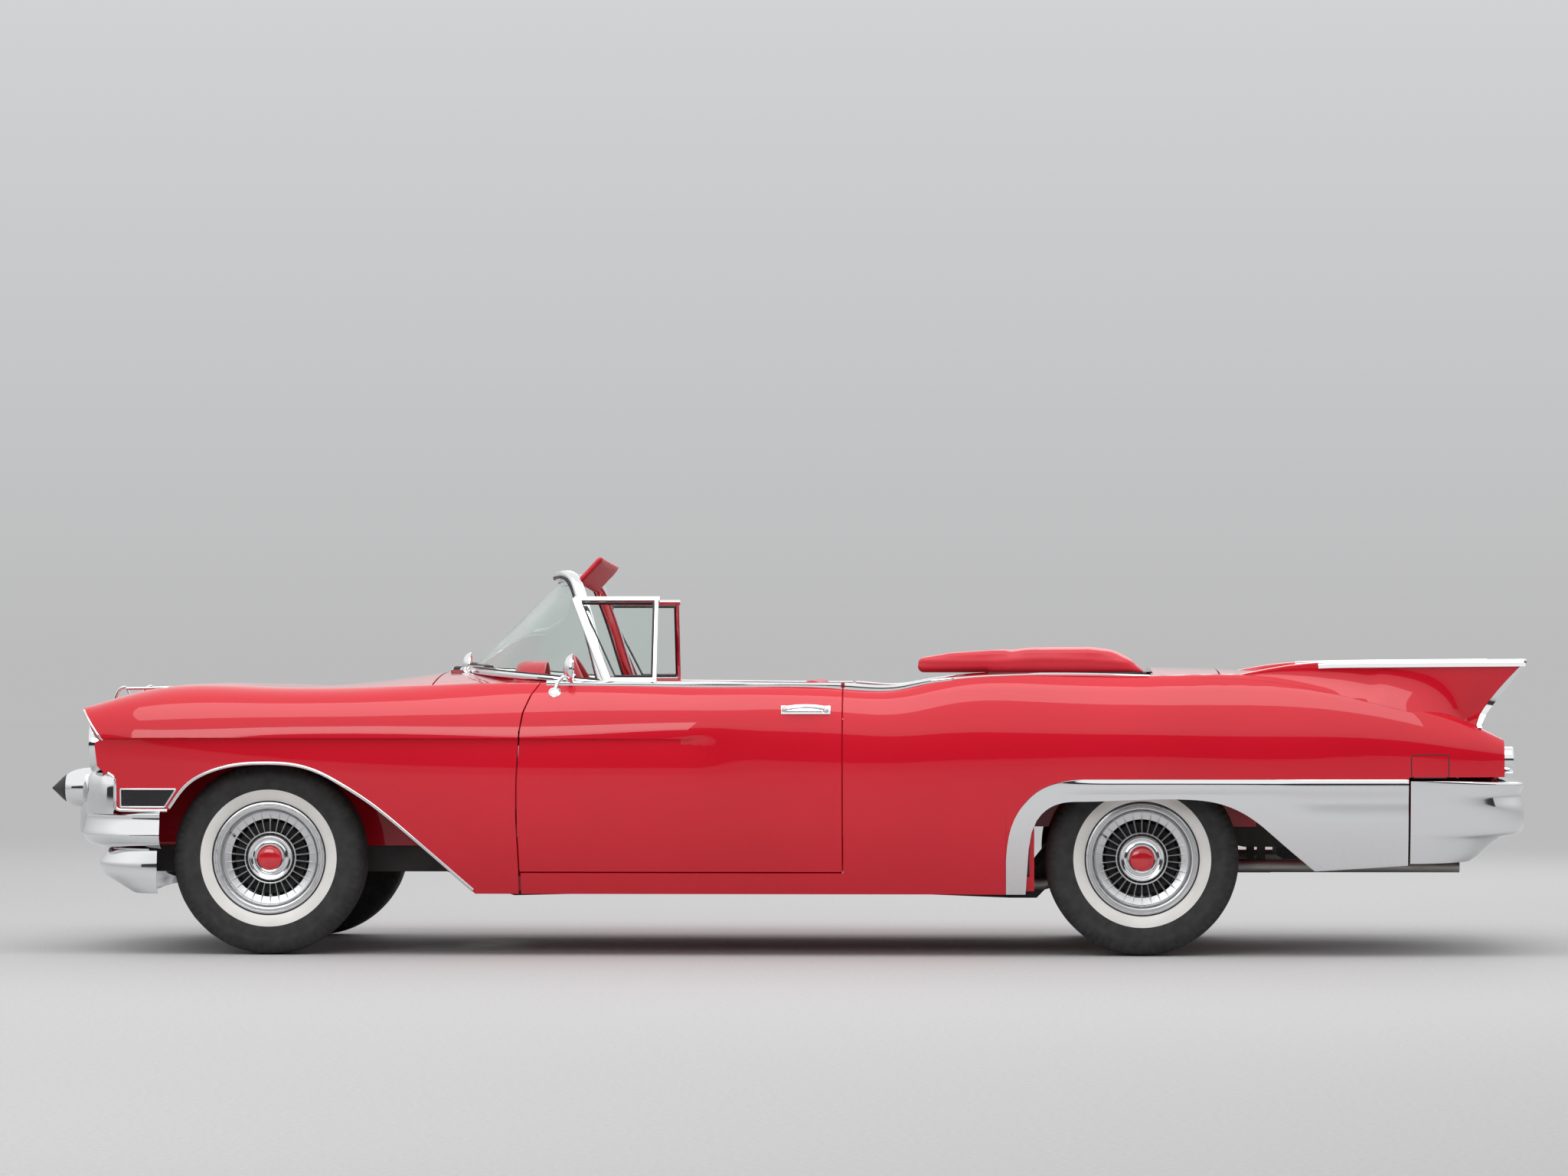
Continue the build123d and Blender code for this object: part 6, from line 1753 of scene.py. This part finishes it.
crank_knob = turned("crank_knob", (-588, 826, 573), (0, -1, 0), [(0, 10), (16, 12), (24, 9), (26, 0)], chrome_plate, 20)
crank_hub = turned("crank_hub", (-640, 846, 640), (0, -1, 0), [(0, 22), (6, 20), (12, 10), (12, 0)], chrome_plate, 24)
door_card = join("door_card_right", [card_back, rest_pad, trim_strip, crank_arm, crank_knob, crank_hub])
pair(door_card, "door_right", (), left_body="door_left")
print("dashboard, wheel and door cards done")

# %% Hood spears, cowl vent and wipers
def spear(name, y):
    """A slim bright spear: an open leaf at its front and a long flat bar behind."""
    leg = sweep("leg", smooth_path([(-2599, y, 950), (-2590, y, 978), (-2572, y, 1003), (-2556, y, 1007)], 14),
                rounded_bar(12, 11, 4), chrome_plate, [(0, 1, 0)] * 14)
    post = sweep("post", [(-2556, y, 1009), (-2550, y, 996), (-2540, y, 972)], rounded_bar(10, 12, 4), chrome_plate,
                 [(0, 1, 0)] * 3)
    bar = sweep("bar", [(x, y, 1001 + (x + 2556) * 0.019) for x in np.linspace(-2556, -2286, 16)],
                rounded_bar(13, 11, 4), chrome_plate, [(0, 0, 1)] * 16)
    foot = sweep("foot", [(-2350, y, 990), (-2320, y, 994), (-2288, y, 992)], rounded_bar(24, 14, 5), chrome_plate,
                 [(0, 0, 1)] * 3)
    return join(name, [leg, post, bar, foot])


spears = join("hood_spears", [spear("spear", 350), spear("spear", -350)])
single(spears, "hood", ("hood_ornaments",))
vent = sweep("cowl_vent", [(-1293 + 10 * (abs(y) / 250) ** 2, y, 1078 - 12 * (abs(y) / 250) ** 2)
                           for y in np.linspace(-250, 250, 26)], rounded_bar(44, 15, 6), chrome_plate,
             [(0, 0, 1)] * 26)
cowl_parts = [vent]
for y in np.arange(-228, 229, 19.0):
    bow = (abs(y) / 250) ** 2
    z = 1086.2 - 12 * bow
    cowl_parts.append(sweep("slot", [(-1306 + 10 * bow, y, z), (-1280 + 10 * bow, y, z)],
                            rounded_bar(9, 1.2, 0.5, 2), black_rubber, [(0, 0, 1)] * 2))
cowl_vent = join("cowl_vent", cowl_parts)
single(cowl_vent, "body", ())
wiper_parts = []
curve_x, curve_y = zip(*GLASS_FOOT[:4])


def foot_x(y):
    """x of the windshield's foot at y."""
    return float(np.interp(abs(y), curve_y, curve_x))


def foot_z(y):
    """Height of the cowl at the windshield's foot."""
    return 1085 - 0.09 * (foot_x(y) - GLASS_FOOT[0][0])


for start, finish_y in ((430, 95), (-205, -540)):
    ys = np.linspace(start, finish_y, 12)
    wiper_parts.append(turned("wiper_pivot", (foot_x(start) - 34, start, foot_z(start) - 12), (0, 0, 1),
                              [(-14, 15), (8, 13), (14, 8), (15, 0)], chrome_plate, 24))
    wiper_parts.append(sweep("wiper_arm", [(foot_x(y) - 34 + 14 * t, y, foot_z(y) + 4 + 7 * t)
                                           for t, y in zip(np.linspace(0, 1, 12), ys)],
                             rounded_bar(9, 5, 2, 2), chrome_plate, [(0, 0, 1)] * 12))
    blade = np.linspace(ys[3], finish_y + (60 if finish_y < start else -60) * -1, 14)
    wiper_parts.append(sweep("wiper_blade", [(foot_x(y) - 19, y, foot_z(y) + 13) for y in blade],
                             rounded_bar(6, 9, 2, 2), black_rubber, [(0, 0, 1)] * 14))
wipers = join("wipers", wiper_parts)
single(wipers, "body", ())

# %% Fuel flap on the left quarter
flap = corner_arcs(((2480, 745), (2366, 745), (2366, 685), (2480, 685)), 13, 4)
dense = []
for a, b in zip(flap, flap[1:]):
    n = 6 if math.hypot(b[0] - a[0], b[1] - a[1]) > 20 else 1
    dense += [(a[0] + (b[0] - a[0]) * t / n, a[1] + (b[1] - a[1]) * t / n) for t in range(n)]
path, ups = on_side(dense + [dense[0]])
flap_line = sweep("fuel_flap", path, [(-2, 0.1), (-1.6, 0.8), (1.6, 0.8), (2, 0.1)], black_rubber, ups)
flap_left = mirror_copy(flap_line, "fuel_flap_line")
bpy.data.objects.remove(flap_line)
single(flap_left, "body", ())

# %% [markdown]
# ## Floor, backdrop and light
# Bright metal shows only what stands around it. A pale floor and sky give it its light tones, and one dark
# strip, which only reflections see, gives it the dark band that makes chrome read as chrome. Three large soft
# lamps, one overhead and one on each side, act as an overcast sky.

# %% Stage
def card(name, corners, material):
    """A flat stage piece through corners in metres."""
    mesh = bpy.data.meshes.new(name)
    mesh.from_pydata(corners, [], [tuple(range(len(corners)))])
    obj = bpy.data.objects.new(name, mesh)
    mesh.materials.append(material)
    bpy.context.scene.collection.objects.link(obj)
    return obj


def floor_finish():
    """Pale paving: a quiet speckle and a little bump."""
    material, tree, shader = finish("pale_paving", (0.46, 0.46, 0.465), 0.85)
    vary(tree, shader, "Base Color", 60, (0.43, 0.43, 0.435), (0.49, 0.49, 0.495), detail=8)
    grain(tree, shader, 260, 0.25, 0.002)
    return material


def plain_card(name, value):
    """A card that neither shines nor casts much colour."""
    material, tree, shader = finish(name, (value, value, value), 0.9)
    vary(tree, shader, "Roughness", 3, 0.85, 0.95)
    return material


card("floor", [(-80, -80, 0), (80, -80, 0), (80, 80, 0), (-80, 80, 0)], floor_finish())
dark_card = plain_card("dark_card", 0.035)
# Reflections see the dark strip, the camera doesn't
hedge_card = card("hedge_card", [(-45, -34, 0), (45, -34, 0), (45, -34, 9), (-45, -34, 9)], dark_card)
hedge_card.visible_camera = False
hedge_card.visible_transmission = False

world = bpy.data.worlds.new("overcast")
bpy.context.scene.world = world
world.use_nodes = True
sky = world.node_tree
background = sky.nodes["Background"]
where = sky.nodes.new("ShaderNodeTexCoord")
split = sky.nodes.new("ShaderNodeSeparateXYZ")
ramp = sky.nodes.new("ShaderNodeValToRGB")
ramp.color_ramp.elements[0].position = 0.0
ramp.color_ramp.elements[0].color = (0.50, 0.50, 0.505, 1)
ramp.color_ramp.elements[1].position = 0.35
ramp.color_ramp.elements[1].color = (1.0, 1.0, 1.0, 1)
middle = ramp.color_ramp.elements.new(0.10)
middle.color = (0.62, 0.63, 0.64, 1)
sky.links.new(where.outputs["Generated"], split.inputs["Vector"])
sky.links.new(split.outputs["Z"], ramp.inputs["Fac"])
sky.links.new(ramp.outputs["Color"], background.inputs["Color"])
background.inputs["Strength"].default_value = 1.0


def soft_lamp(name, location, target, width, depth, power):
    """A large area lamp aimed at a point."""
    data = bpy.data.lights.new(name, "AREA")
    data.shape = "RECTANGLE"
    data.size, data.size_y, data.energy = width, depth, power
    lamp = bpy.data.objects.new(name, data)
    lamp.location = location
    lamp.rotation_euler = (Vector(target) - Vector(location)).to_track_quat("-Z", "Y").to_euler()
    bpy.context.scene.collection.objects.link(lamp)
    return lamp


soft_lamp("sky_lamp", (0, -3.0, 6.5), (0, 0, 0.6), 9, 4, 230)
soft_lamp("side_lamp", (-3.5, -11, 4.5), (0, 0, 0.6), 6, 3, 170)
soft_lamp("far_lamp", (2, 9, 5.5), (0, 0, 0.6), 8, 3, 170)

bpy.context.scene.view_settings.view_transform = "Standard"
